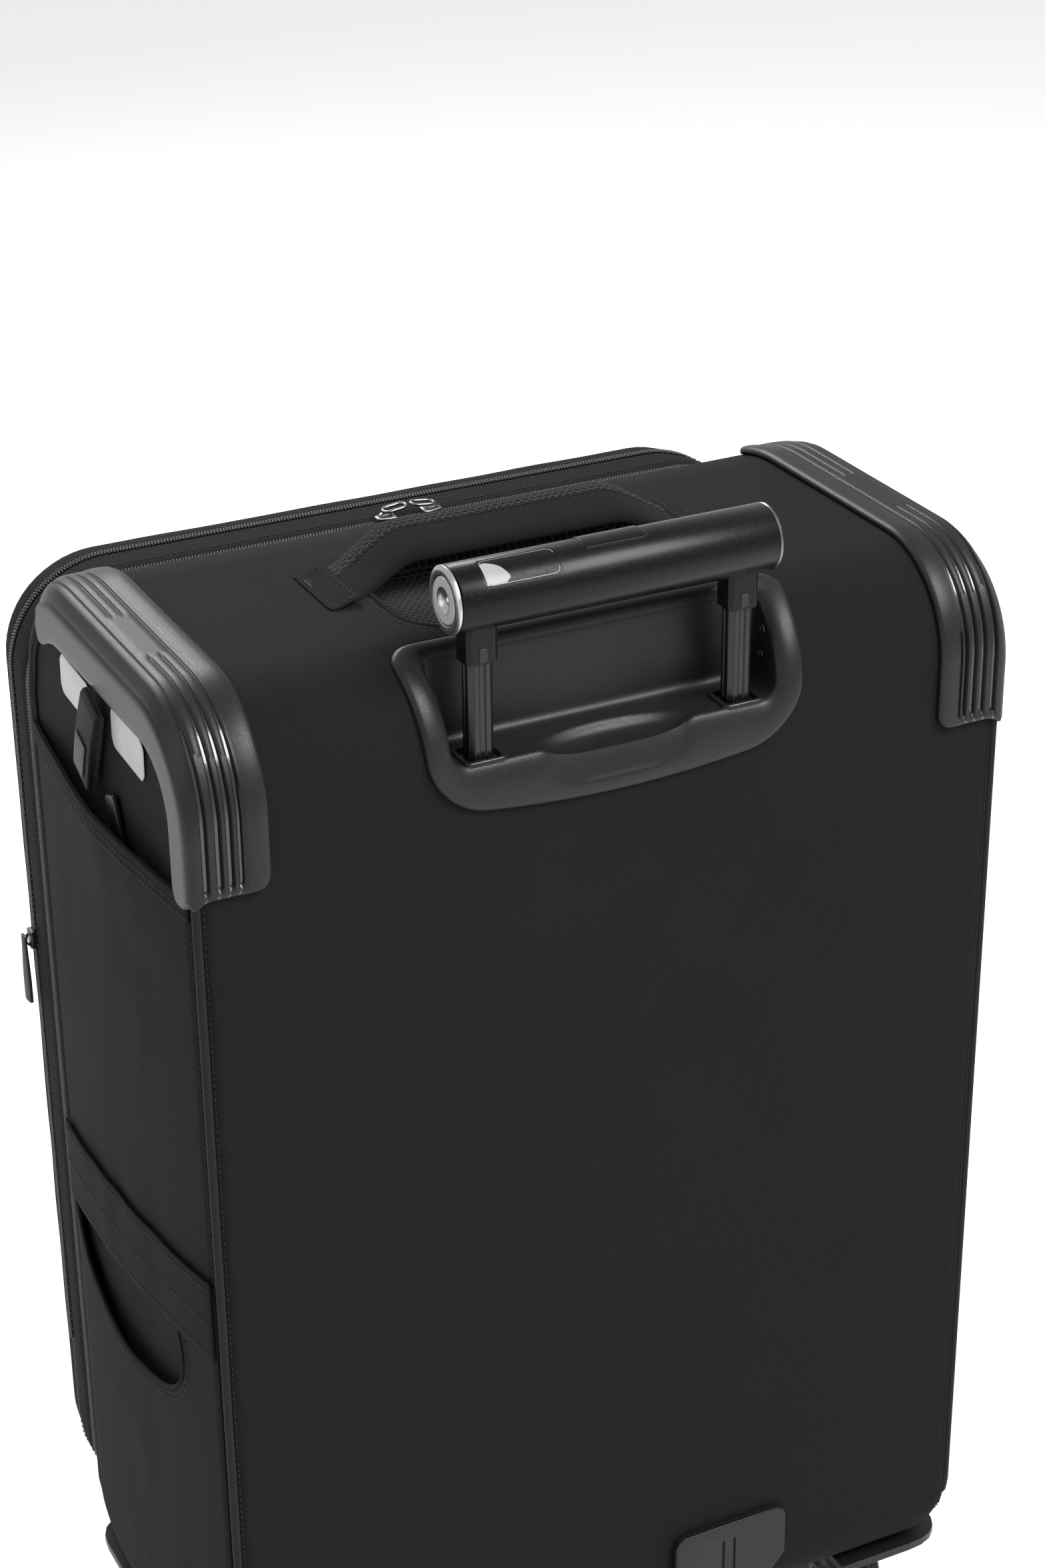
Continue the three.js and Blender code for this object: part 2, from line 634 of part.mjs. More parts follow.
const POCKET_SLIDER_Z = TOP - 240;
const POCKET_ZIP_DEPTH = POCKET_COIL_START + POCKET_COIL / 2;
const POCKET_ZIP_FACE = HALF - LID_INSET + FIT;

const pocketSlider = new THREE.BoxGeometry(SLIDER_HEIGHT, SLIDER_WIDTH, SLIDER_LENGTH);
pocketSlider.translate(
  POCKET_ZIP_FACE + SLIDER_HEIGHT / 2, fromBack(POCKET_ZIP_DEPTH), POCKET_SLIDER_Z,
);
add('pocket_slider', pocketSlider, nylon);

const PULLER_LENGTH = 40;
const PULLER_THICK = 3.4;
const puller = alongX(
  roundedShape(-5, -PULLER_LENGTH, 5, 0, 4.8, 3), 0, PULLER_THICK, 1, 6,
);
puller.translate(
  POCKET_ZIP_FACE + SLIDER_HEIGHT + FIT, fromBack(POCKET_ZIP_DEPTH), POCKET_SLIDER_Z + 3,
);
add('pocket_puller', puller, nylon);

// ---------------------------------------------------------------- telescopic handle
const TUBE_CORNER = 2.2;
const MIDDLE_TOP = TOP - CUP_FLOOR - 0.5;
const INNER_TOP = TOP - 1 - FIT;
const MIDDLE_BOTTOM = TUBE_BOTTOM + 20;
const INNER_BOTTOM = MIDDLE_BOTTOM + 64; // clears the middle tube's foot when the grip is stowed
const ROD = 4;

function hollowTube(size, wall, side, zLow, zHigh) {
  const shape = tubeShape(size, TUBE_CORNER, side * TUBE_X, TUBE_Y);
  const bore = size.map((width) => width - 2 * wall);
  shape.holes.push(tubeShape(bore, TUBE_CORNER - wall / 2, side * TUBE_X, TUBE_Y));
  return alongZ(shape, zLow, zHigh);
}

function tubeFoot(side) {
  const half = OUTER_TUBE[0] / 2;
  const x = side * TUBE_X;
  return cut(
    block(x - half - 7, x + half + 7, 2, BACK_BOARD - FIT, TUBE_BOTTOM - 20, TUBE_BOTTOM + 18),
    block(x - half - FIT, x + half + FIT, 0, BACK_BOARD + 1, TUBE_BOTTOM - FIT, TUBE_BOTTOM + 20),
  );
}

const PLATE_HALF = 35;
const PLATE_TOP = BASE + 67;
const PLATE_LOW = BASE + 17;

function basePlate(side) {
  const plate = outlineOf([
    [-PLATE_HALF + 5, PLATE_LOW], [PLATE_HALF - 14, PLATE_LOW], [PLATE_HALF, PLATE_LOW + 17],
    [PLATE_HALF, PLATE_TOP - 6], [PLATE_HALF - 2, PLATE_TOP - 2], [PLATE_HALF - 6, PLATE_TOP],
    [-PLATE_HALF + 6, PLATE_TOP], [-PLATE_HALF + 2, PLATE_TOP - 2], [-PLATE_HALF, PLATE_TOP - 6],
    [-PLATE_HALF, PLATE_LOW + 5],
  ].map(([x, z]) => [side * (x + 71), z]));
  const slots = [66, 73].map((x) => block(
    side * x - 0.8, side * x + 0.8, -PLATE_PROUD - 1, -PLATE_PROUD + 1.5, PLATE_LOW - 1, PLATE_TOP - 11,
  ));
  return cut(alongDepth(plate, -PLATE_PROUD, -FIT), ...slots);
}

for (const [name, side] of SIDES) {
  const outerTop = TOP - CUP_FLOOR - CUP_WALL - FIT;
  add(`outer_tube_${name}`, hollowTube(OUTER_TUBE, TUBE_SKIN, side, TUBE_BOTTOM, outerTop), tubeMetal);
  add(`middle_tube_${name}`, hollowTube(MIDDLE_TUBE, TUBE_SKIN, side, MIDDLE_BOTTOM, MIDDLE_TOP), tubeMetal);
  add(`inner_tube_${name}`, hollowTube(INNER_TUBE, 1.6, side, INNER_BOTTOM, INNER_TOP), tubeMetal);
  add(`tube_foot_${name}`, tubeFoot(side), moulding);
  add(`base_plate_${name}`, basePlate(side), moulding);
}

// ---------------------------------------------------------------- grip, button and torch
function barrel(radius, xLow, xHigh, sides = 28) {
  const geometry = new THREE.CylinderGeometry(radius, radius, xHigh - xLow, sides);
  geometry.rotateZ(-Math.PI / 2);
  geometry.translate((xLow + xHigh) / 2, TUBE_Y, GRIP_Z);
  return geometry;
}

// A turned piece on the grip's axis; the profile is (radius, x) and starts and ends on the axis.
function turned(profile, sides = 28) {
  const points = profile.map(([radius, x]) => new THREE.Vector2(radius, x));
  const geometry = new THREE.LatheGeometry(points, sides);
  geometry.rotateZ(-Math.PI / 2);
  geometry.translate(0, TUBE_Y, GRIP_Z);
  return geometry;
}

const BUTTON_HALF = 16.5;
const BUTTON_WIDE = 7.5;
const BUTTON_SINK = 6;
const BORE = GRIP_RADIUS - GRIP_SKIN;

const buttonSlot = (out) => {
  const shape = roundedShape(
    -BUTTON_HALF - out, TUBE_Y - BUTTON_WIDE - out, BUTTON_HALF + out, TUBE_Y + BUTTON_WIDE + out, 2,
  );
  return alongZ(shape, GRIP_Z + BORE - BUTTON_SINK, GRIP_Z + GRIP_RADIUS + 5);
};

function gripShell() {
  const posts = SIDES.map(([, side]) => alongZ(
    tubeShape(POST, TUBE_CORNER, side * TUBE_X, TUBE_Y), TOP - 1, GRIP_Z - 4,
  ));
  const bores = SIDES.map(([, side]) => alongZ(
    tubeShape([ROD + 2, ROD + 2], 0.6, side * TUBE_X, TUBE_Y), TOP - 5, GRIP_Z,
  ));
  return cut(
    join(barrel(GRIP_RADIUS, -GRIP_HALF, GRIP_HALF), ...posts),
    barrel(BORE, -GRIP_HALF - 1, GRIP_HALF + 1),
    buttonSlot(FIT),
    ...bores,
  );
}

add('grip_shell', gripShell(), tubeMetal);

const CAP_PLUG = 7;
const RIM = 2.6;
add('grip_end_cap', turned([
  [0, -GRIP_HALF - RIM], [GRIP_RADIUS - 1, -GRIP_HALF - RIM], [GRIP_RADIUS, -GRIP_HALF - RIM + 1],
  [GRIP_RADIUS, -GRIP_HALF - FIT], [BORE - FIT, -GRIP_HALF - FIT],
  [BORE - FIT, -GRIP_HALF + CAP_PLUG], [0, -GRIP_HALF + CAP_PLUG],
]), silver);

const TORCH_RADIUS = 11.4;
const TORCH_TRAVEL = 1.5;
const torchBezel = cut(
  turned([
    [0, GRIP_HALF - CAP_PLUG], [BORE - FIT, GRIP_HALF - CAP_PLUG], [BORE - FIT, GRIP_HALF + FIT],
    [GRIP_RADIUS, GRIP_HALF + FIT], [GRIP_RADIUS, GRIP_HALF + RIM - 1.2],
    [GRIP_RADIUS - 1.4, GRIP_HALF + RIM], [0, GRIP_HALF + RIM],
  ]),
  barrel(TORCH_RADIUS + FIT, GRIP_HALF - 3, GRIP_HALF + RIM + 1),
  barrel(6, GRIP_HALF - CAP_PLUG - 1, GRIP_HALF),
);
add('torch_bezel', torchBezel, silver);
add('torch_head', turned([
  [0, GRIP_HALF - 1], [TORCH_RADIUS, GRIP_HALF - 1], [TORCH_RADIUS, GRIP_HALF + RIM - 0.4],
  [TORCH_RADIUS - 0.6, GRIP_HALF + RIM], [5.4, GRIP_HALF + RIM], [2.6, GRIP_HALF + 0.4],
  [0, GRIP_HALF + 0.4],
]), silver);

const BATTERY_RADIUS = 4.5;
const battery = barrel(BATTERY_RADIUS, GRIP_HALF - CAP_PLUG - 34, GRIP_HALF - CAP_PLUG - 2, 16);
battery.translate(0, 0, 5.5);
add('torch_battery', battery, steel);

const buttonCrown = barrel(GRIP_RADIUS + 0.5, -BUTTON_HALF - 1, BUTTON_HALF + 1);
const BUTTON_STEM = 3;
add('grip_button', join(
  overlap(buttonSlot(0), buttonCrown),
  alongZ(tubeShape([12, 5], 1, 0, TUBE_Y), GRIP_Z - 5 + FIT, GRIP_Z + BORE - BUTTON_SINK + BUTTON_STEM),
), tubeMetal);

const yokeBar = alongZ(
  tubeShape([TUBE_SPACING + ROD, 5], 1, 0, TUBE_Y), GRIP_Z - 8.5, GRIP_Z - 5,
);
const yokeRods = SIDES.map(([, side]) => alongZ(
  tubeShape([ROD, ROD], 0.6, side * TUBE_X, TUBE_Y), INNER_BOTTOM + 12, GRIP_Z - 7,
));
add('release_yoke', join(yokeBar, ...yokeRods), steel);

// ---------------------------------------------------------------- casters
const HOUSING_HIGH = BASE - FIT;
const HOUSING_LOW = BASE - 15;
const FORK_TOP = HOUSING_LOW - FIT;
const FORK_CROWN = FORK_TOP - 5;
const CROWN_RADIUS = 23;

function casterHousing(x, y, sideX, sideY) {
  const reach = 41;
  const plate = new THREE.Shape();
  const low = -30;
  plate.moveTo(sideX * low, sideY * low);
  plate.lineTo(sideX * (reach - 18), sideY * low);
  plate.quadraticCurveTo(sideX * reach, sideY * low, sideX * reach, sideY * (low + 18));
  plate.lineTo(sideX * reach, sideY * 18);
  plate.quadraticCurveTo(sideX * reach, sideY * 40, sideX * 16, sideY * 40);
  plate.lineTo(sideX * low, sideY * 40);
  const flange = alongZ(plate, HOUSING_HIGH - 5, HOUSING_HIGH, 1, 5);
  const dome = new THREE.CylinderGeometry(34, 27, HOUSING_HIGH - 4 - HOUSING_LOW, 20);
  dome.rotateX(Math.PI / 2);
  dome.translate(0, 0, (HOUSING_HIGH - 4 + HOUSING_LOW) / 2);
  const housing = join(flange, dome);
  housing.translate(x, y, 0);
  return housing;
}

function casterFork(x, y, trail) {
  const crown = new THREE.CylinderGeometry(CROWN_RADIUS, CROWN_RADIUS, FORK_TOP - FORK_CROWN, 20);
  crown.rotateX(Math.PI / 2);
  crown.translate(0, 0, (FORK_TOP + FORK_CROWN) / 2);
  const leg = new THREE.Shape();
  leg.moveTo(trail - 7, WHEEL_RADIUS);
  leg.absarc(trail, WHEEL_RADIUS, 7.5, Math.PI, 2 * Math.PI, false);
  leg.lineTo(trail + 9, FORK_CROWN + 1);
  leg.lineTo(trail - 20, FORK_CROWN + 1);
  const hole = new THREE.Path();
  hole.absarc(trail, WHEEL_RADIUS, AXLE_RADIUS + AXLE_GAP, 0, 2 * Math.PI, true);
  leg.holes.push(hole);
  const limb = alongX(leg, -FORK_LEG / 2, FORK_LEG / 2, 1, 8);
  const fork = join(crown, limb);
  fork.translate(x, y, 0);
  return fork;
}

function casterWheels(x, y, trail) {
  const near = FORK_LEG / 2 + 0.8;
  const far = near + WHEEL_WIDTH;
  const half = [
    [AXLE_RADIUS, near], [WHEEL_RADIUS - 2, near], [WHEEL_RADIUS, near + 2],
    [WHEEL_RADIUS, far - 3], [WHEEL_RADIUS - 3, far],
  ];
  const mirrored = half.map(([radius, across]) => [radius, -across]).reverse();
  const profile = [[0, -far], ...mirrored, ...half, [0, far]];
  const points = profile.map(([radius, across]) => new THREE.Vector2(radius, across));
  const wheels = new THREE.LatheGeometry(points, 22);
  wheels.rotateZ(-Math.PI / 2);
  wheels.translate(x, y + trail, WHEEL_RADIUS);
  return wheels;
}

const casters = [
  ['back_left', -1, 1], ['back_right', 1, 1], ['front_left', -1, -1], ['front_right', 1, -1],
];
for (const [name, sideX, sideY] of casters) {
  const x = sideX * (HALF - CASTER_INSET_X);
  const y = sideY > 0 ? fromBack(CASTER_INSET_Y) : fromBack(CASE_DEPTH - CASTER_INSET_Y + 10);
  add(`caster_housing_${name}`, casterHousing(x, y, sideX, sideY), moulding);
  add(`caster_fork_${name}`, casterFork(x, y, -CASTER_TRAIL), moulding);
  add(`caster_wheels_${name}`, casterWheels(x, y, -CASTER_TRAIL), tyre);
}

// ---------------------------------------------------------------- small things on the pocket side
const TAG_X = SIDE_FACE + 1.8;
const TAG_TOP = TOP - GUARD_FLANK - BACK_CORNER_RADIUS - 3;
const TAG_DROP = 55;
const TAG_WIDTH = 20;
const TAG_DEPTH = 112; // where the loop hangs behind the back panel
const TAG_LEAN = 0.42;

const tagShape = roundedShape(TAG_X, -TAG_DROP, TAG_X + 5.5, 0, 2.6);
tagShape.holes.push(roundedShape(TAG_X + 1.5, -TAG_DROP + 1.5, TAG_X + 4, -1.5, 1.1));
const tagLoop = alongDepth(tagShape, TAG_DEPTH - TAG_WIDTH / 2, TAG_DEPTH + TAG_WIDTH / 2, 1, 3);
tagLoop.translate(0, -fromBack(TAG_DEPTH), 0);
tagLoop.rotateX(-TAG_LEAN);
tagLoop.translate(0, fromBack(TAG_DEPTH), TAG_TOP);
add('tag_loop', tagLoop, webbing);

const clip = alongX(roundedShape(-7, -34, 7, 12, 3), SIDE_FACE + 0.6, SIDE_FACE + 3.2);
clip.rotateX(0.35);
clip.translate(0, fromBack(100), POCKET_MOUTH);
add('bag_strap_clip', clip, nylon);

export default suitcase;
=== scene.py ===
# %% [markdown]
# # A softside upright suitcase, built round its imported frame
# The case is black woven fabric over foam, on four casters. A telescopic handle drops into a moulded cup at
# the back, and its grip holds a torch. The frame below brings the parts that move, at their real size and
# place. Everything soft, and every hard part with rounder edges, is made here around it.

# %% Load the frame
import bmesh
import bpy
import numpy as np
from math import copysign, cos, degrees, dist, exp, hypot, pi, radians, sin, sqrt
from mathutils import Matrix, Vector, noise


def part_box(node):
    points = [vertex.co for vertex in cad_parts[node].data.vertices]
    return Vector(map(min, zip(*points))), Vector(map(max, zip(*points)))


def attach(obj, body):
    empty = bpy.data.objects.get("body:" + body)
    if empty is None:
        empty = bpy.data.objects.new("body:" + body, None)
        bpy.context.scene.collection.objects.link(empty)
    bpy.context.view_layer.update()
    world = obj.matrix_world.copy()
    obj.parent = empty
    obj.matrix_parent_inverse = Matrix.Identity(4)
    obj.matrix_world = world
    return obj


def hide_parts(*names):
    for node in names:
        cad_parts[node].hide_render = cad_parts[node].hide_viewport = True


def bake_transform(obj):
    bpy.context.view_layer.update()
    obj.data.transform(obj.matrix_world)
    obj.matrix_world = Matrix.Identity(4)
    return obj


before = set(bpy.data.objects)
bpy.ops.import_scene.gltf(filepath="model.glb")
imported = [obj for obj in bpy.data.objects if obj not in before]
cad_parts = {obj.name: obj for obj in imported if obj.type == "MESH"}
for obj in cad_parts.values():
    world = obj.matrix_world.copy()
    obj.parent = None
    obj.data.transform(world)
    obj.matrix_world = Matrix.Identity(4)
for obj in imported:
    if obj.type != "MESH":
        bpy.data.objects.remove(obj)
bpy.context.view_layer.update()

# %% [markdown]
# ## Camera
# The case is seen from behind and above, a little from its pocket side. A long lens keeps its upright edges
# nearly straight. The matrix is made from a heading, a pitch and a small roll, as a tripod head is set.

# %% Camera
CAMERA_PLACE = Vector((0.6274, 1.31755, 1.2724))
HEADING, PITCH, ROLL = (radians(a) for a in (26.194, 26.393, -0.6145))

forward = Vector((-sin(HEADING) * cos(PITCH), -cos(HEADING) * cos(PITCH), -sin(PITCH)))
right = forward.cross(Vector((0, 0, 1))).normalized()
above = right.cross(forward)
rolled_right = right * cos(ROLL) + above * sin(ROLL)
rolled_above = above * cos(ROLL) - right * sin(ROLL)
camera = bpy.data.objects.new("camera", bpy.data.cameras.new("camera"))
bpy.context.scene.collection.objects.link(camera)
turn = Matrix((rolled_right, rolled_above, -forward)).transposed()
camera.matrix_world = Matrix.Translation(CAMERA_PLACE) @ turn.to_4x4()
camera.data.lens = 70.92
camera.data.sensor_width = 36
bpy.context.scene.camera = camera
print("camera looks along", [round(v, 3) for v in forward])

# %% [markdown]
# ## Sizes
# All lengths are metres, and MM turns millimetres into them. The case's own sizes are read from the frame's
# boxes. Depth is measured forwards from the back panel.

# %% Sizes
MM = 0.001
wrap_low, wrap_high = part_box("fabric_wrap")
BACK, TOP, BASE = wrap_high.y, wrap_high.z, wrap_low.z
DEPTH = wrap_high.y - wrap_low.y
EDGE_INSET = 3 * MM
HALF = wrap_high.x + EDGE_INSET
MIDDLE = (TOP + BASE) / 2
FALL, FALL_RUN = 22 * MM, 65 * MM
BACK_TOP, BACK_BASE = 52 * MM, 22 * MM
FRONT_CORNER, BASE_CORNER, BACK_CORNER = 58 * MM, 45 * MM, 8 * MM
SIDES = (("left", -1), ("right", 1))
print("half width", round(HALF, 4), "top", round(TOP, 4), "back", round(BACK, 4), "depth", round(DEPTH, 4))

# %% [markdown]
# ## Node helpers
# A finish is a small node graph. These helpers add a node, do arithmetic on sockets, and hand back the
# output socket, so that each finish below reads as a few lines about its own look. A socket knows the graph
# it is in.

# %% Node helpers
def socket(value, target):
    if isinstance(value, bpy.types.NodeSocket):
        target.id_data.links.new(value, target)
    else:
        target.default_value = value


def feed(node, **inputs):
    for name, value in inputs.items():
        socket(value, node.inputs[name.replace("_", " ")])
    return node


def add_node(material, kind, **inputs):
    return feed(material.node_tree.nodes.new(kind), **inputs)


def after(value, kind, given):
    """A node in the graph that a socket belongs to, with its inputs given by number."""
    made = value.id_data.nodes.new(kind)
    for number, one in given.items():
        socket(one, made.inputs[number])
    return made


def sums(operation, first, second=0.0):
    made = after(first, "ShaderNodeMath", {0: first, 1: second})
    made.operation = operation
    return made.outputs[0]


def blend_colours(share, first, second):
    made = share.id_data.nodes.new("ShaderNodeMix")
    made.data_type = "RGBA"
    for number, one in ((0, share), (6, first), (7, second)):
        socket(one, made.inputs[number])
    return made.outputs[2]


def ramp(value, low, high, from_value=0.0, to_value=1.0):
    made = after(value, "ShaderNodeMapRange", {0: value, 1: low, 2: high, 3: from_value, 4: to_value})
    return made.outputs[0]


def place_of(material, source="Object"):
    return add_node(material, "ShaderNodeTexCoord").outputs[source]


def split(vector):
    return after(vector, "ShaderNodeSeparateXYZ", {0: vector}).outputs[:]


def grain(material, size, detail=2.0, source="Object"):
    place = place_of(material, source)
    return add_node(material, "ShaderNodeTexNoise", Vector=place, Scale=1 / size, Detail=detail).outputs[0]


def raise_surface(height, distance, strength=1.0, under=None):
    made = feed(height.id_data.nodes.new("ShaderNodeBump"), Height=height, Distance=distance,
                Strength=strength)
    if under is not None:
        feed(made, Normal=under)
    return made.outputs[0]


def start_finish(name, **settings):
    material = bpy.data.materials.new(name)
    material.use_nodes = True
    return material, feed(material.node_tree.nodes["Principled BSDF"], **settings)


def grey(level, warmth=0.0):
    return (level * (1 + warmth), level, level * (1 - warmth), 1)


print("node helpers ready")

# %% [markdown]
# ## Woven shell fabric
# The shell is a dense nylon with small raised dots on a diagonal, about a millimetre apart. The dots come
# from two crossed sine waves on the cloth's own UV map, which is in metres, so the weave keeps its scale
# and runs with each panel. The threads stand up in the bump, and the gaps between them are duller and
# painted darker, as painted shade.

# %% Woven shell fabric
def centred(wave):
    return ramp(wave, -1.0, 1.0)


def crossed(material, pitch, source="UV"):
    u, v, _ = split(place_of(material, source))
    turns = 2 * pi / pitch
    rise = sums("SINE", sums("MULTIPLY", sums("ADD", u, v), turns))
    fall = sums("SINE", sums("MULTIPLY", sums("SUBTRACT", u, v), turns))
    return centred(sums("MULTIPLY", rise, fall))


def woven_finish(name, dark, light, pitch, relief, warmth=0.0):
    material, shader = start_finish(
        name, Roughness=0.8, Sheen_Weight=0.008, Sheen_Roughness=0.5, Specular_IOR_Level=0.06,
    )
    weave = crossed(material, pitch)
    patches = grain(material, 60 * MM)
    slub = grain(material, 2.2 * MM, 1.0)
    # The low gaps of the weave take the dark grey as painted shade, and the raised threads take the light
    # grey.
    thread = blend_colours(weave, grey(dark, warmth), grey(light, warmth))
    shade = ramp(patches, 0.3, 0.7, 0.0, 0.35)
    lumps = raise_surface(slub, 0.12 * MM, 0.35)
    feed(shader, Base_Color=blend_colours(shade, thread, grey(light * 0.75, warmth)),
         Normal=raise_surface(weave, relief, 0.9, lumps))
    return material


shell = woven_finish("shell_nylon", 0.0035, 0.0145, 2.2 * MM, 0.22 * MM, 0.05)
hem_cloth = woven_finish("hem_nylon", 0.004, 0.011, 1.3 * MM, 0.1 * MM, 0.0)
lining = woven_finish("lining_polyester", 0.028, 0.05, 0.9 * MM, 0.05 * MM, -0.03)
print("cloth finishes", [m.name for m in (shell, hem_cloth, lining)])

# %% [markdown]
# ## Spacer mesh
# The hollow under the carry handle, and the front of the handle itself, are faced with spacer mesh: a
# knitted face with rows of long holes, each row half a hole out of step. The holes are worked out from the
# UV map with a floor and a fraction. They sink in the bump, and their inside is painted near-black as
# painted shade.

# %% Spacer mesh
def knit_holes(material, length, height):
    u, v, _ = split(place_of(material, "UV"))
    rows = sums("DIVIDE", v, height)
    row = sums("FLOOR", rows)
    step = sums("MULTIPLY", row, 0.5)
    across = sums("FRACT", sums("ADD", sums("DIVIDE", u, length), step))
    up = sums("FRACT", rows)
    a = sums("POWER", sums("MULTIPLY", sums("SUBTRACT", across, 0.5), 2.3), 2.0)
    b = sums("POWER", sums("MULTIPLY", sums("SUBTRACT", up, 0.5), 2.7), 2.0)
    return ramp(sums("ADD", a, b), 0.55, 1.15)


def spacer_finish(name, length, height, light):
    material, shader = start_finish(
        name, Roughness=0.85, Sheen_Weight=0.02, Sheen_Roughness=0.5, Specular_IOR_Level=0.12,
    )
    ground = knit_holes(material, length, height)
    fibres = grain(material, 0.7 * MM, 1.0)
    tone = blend_colours(fibres, grey(light * 0.6), grey(light))
    knit = raise_surface(fibres, 0.1 * MM, 0.5)
    # Inside the holes the colour is near-black: painted shade for their depth.
    feed(shader, Base_Color=blend_colours(ground, grey(0.003), tone),
         Normal=raise_surface(ground, 0.9 * MM, 1.0, knit))
    return material


spacer = spacer_finish("spacer_mesh", 4.2 * MM, 2.5 * MM, 0.036)
print("mesh finish", spacer.name)

# %% [markdown]
# ## Moulded plastics
# The guards, the cup and the caster housings are charcoal nylon from a spark-eroded mould: satin, with a
# fine grain that shows in the bump and varies the gloss.

# %% Moulded plastics and rubber
def moulded_finish(name, level, roughness, grain_size, relief, coat=0.0, gleam=0.35):
    """A plastic; the grain's size and relief are in millimetres."""
    material, shader = start_finish(name, Coat_Weight=coat, Coat_Roughness=0.25, Specular_IOR_Level=gleam)
    speckle = grain(material, grain_size * MM, 3.0)
    cloud = grain(material, 45 * MM)
    tone = blend_colours(ramp(cloud, 0.35, 0.65), grey(level * 0.88), grey(level * 1.1))
    gloss = ramp(speckle, 0.3, 0.7, roughness - 0.07, roughness + 0.07)
    feed(shader, Base_Color=tone, Roughness=gloss, Normal=raise_surface(speckle, relief * MM, 0.8))
    return material


moulding = moulded_finish("charcoal_moulding", 0.008, 0.42, 0.7, 0.07, 0.0, 0.29)
groove_gloss = moulded_finish("groove_gloss", 0.012, 0.14, 0.8, 0.02, 0.4, 0.6)
dark_plastic = moulded_finish("black_plastic", 0.009, 0.32, 0.6, 0.03)
rubber = moulded_finish("black_rubber", 0.014, 0.55, 0.5, 0.04)
tyre = moulded_finish("caster_tyre", 0.02, 0.6, 0.7, 0.05)
hub_plastic = moulded_finish("caster_hub", 0.07, 0.42, 0.8, 0.03)
coil = moulded_finish("zip_coil", 0.01, 0.34, 0.4, 0.02, 0.0, 0.5)
thread = moulded_finish("sewing_thread", 0.014, 0.6, 0.2, 0.04)
print("moulded finishes", len(bpy.data.materials))

# %% [markdown]
# ## Metals and small finishes
# The grip is anodised black with a fine flake in it, so its roughness and colour jump from cell to cell of
# a tiny Voronoi pattern. The tubes are the same metal, drawn, and streaked along their length. The silver
# rings are turned, and carry the same streaked finish.

# %% Metals and small finishes
def flake_finish(name, level, roughness):
    material, shader = start_finish(name, Metallic=0.75, Coat_Weight=0.1, Coat_Roughness=0.3)
    cells = add_node(material, "ShaderNodeTexVoronoi", Vector=place_of(material), Scale=1 / (0.35 * MM))
    bright, _, _ = split(cells.outputs["Color"])
    sparkle = sums("POWER", bright, 6.0)
    gloss = ramp(bright, 0.0, 1.0, roughness - 0.05, roughness + 0.08)
    feed(shader, Base_Color=blend_colours(sparkle, grey(level), grey(level * 3)), Roughness=gloss,
         Normal=raise_surface(bright, 0.012 * MM, 0.5))
    return material


def drawn_finish(name, level, roughness, metallic=0.85):
    material, shader = start_finish(name, Metallic=metallic)
    mapping = add_node(material, "ShaderNodeMapping", Vector=place_of(material))
    mapping.inputs["Scale"].default_value = (1, 1, 0.012)
    streak = add_node(material, "ShaderNodeTexNoise", Vector=mapping.outputs[0], Scale=1 / (0.5 * MM))
    tone = blend_colours(streak.outputs[0], grey(level * 0.8), grey(level * 1.3))
    gloss = ramp(streak.outputs[0], 0.3, 0.7, roughness - 0.06, roughness + 0.08)
    feed(shader, Base_Color=tone, Roughness=gloss, Normal=raise_surface(streak.outputs[0], 0.01 * MM, 0.4))
    return material


anodised = flake_finish("anodised_flake", 0.005, 0.3)
drawn_tube = drawn_finish("drawn_tube", 0.035, 0.26)
silver = drawn_finish("turned_silver", 0.5, 0.3, 1.0)
slider_metal = drawn_finish("slider_metal", 0.2, 0.3, 1.0)
steel = drawn_finish("plain_steel", 0.3, 0.35, 1.0)
label_film = moulded_finish("label_film", 0.004, 0.34, 2, 0.005, 0.0, 0.15)
label_ink = moulded_finish("label_ink", 0.3, 0.4, 1, 0.01)
torch_metal = moulded_finish("torch_metal", 0.38, 0.3, 1, 0.005, 0.2, 0.6)
reflector = moulded_finish("reflective_patch", 0.34, 0.42, 0.45, 0.05)
print("finishes in all", len(bpy.data.materials))

# %% [markdown]
# ## Webbing
# Webbing is woven with a rib across it. A sine along the strap's length makes the ribs, and a finer one
# across it the single threads. The low parts between ribs and threads are painted darker as painted shade.

# %% Webbing
def ribbed_finish(name, level, rib, relief):
    material, shader = start_finish(name, Roughness=0.75, Sheen_Weight=0.03, Sheen_Roughness=0.5,
                                    Specular_IOR_Level=0.15)
    u, v, _ = split(place_of(material, "UV"))
    ribs = centred(sums("SINE", sums("MULTIPLY", v, 2 * pi / rib)))
    threads = centred(sums("SINE", sums("MULTIPLY", u, 2 * pi / (1.1 * MM))))
    height = sums("ADD", ribs, sums("MULTIPLY", threads, 0.35))
    # The low parts of ribs and threads take the darker grey as painted shade.
    tone = blend_colours(ramp(height, 0.0, 1.35), grey(level * 0.45), grey(level))
    feed(shader, Base_Color=tone, Normal=raise_surface(height, relief, 0.9))
    return material


webbing = ribbed_finish("ribbed_webbing", 0.02, 1.6 * MM, 0.25 * MM)
piping_cloth = ribbed_finish("piping_cord", 0.012, 1.3 * MM, 0.2 * MM)
tape_cloth = ribbed_finish("zip_tape_cloth", 0.013, 1.0 * MM, 0.1 * MM)
print("webbing finishes", webbing.name, piping_cloth.name, tape_cloth.name)

# %% [markdown]
# ## Studio
# A pale floor runs past the view on every side, and glows faintly so that it stays white. One wide soft
# lamp stands above and behind the handle, one fills the pocket side and one the front. The sky is an even
# pale grey. It lights the case less brightly than it shows, so black cloth stays black and its folds still
# show.

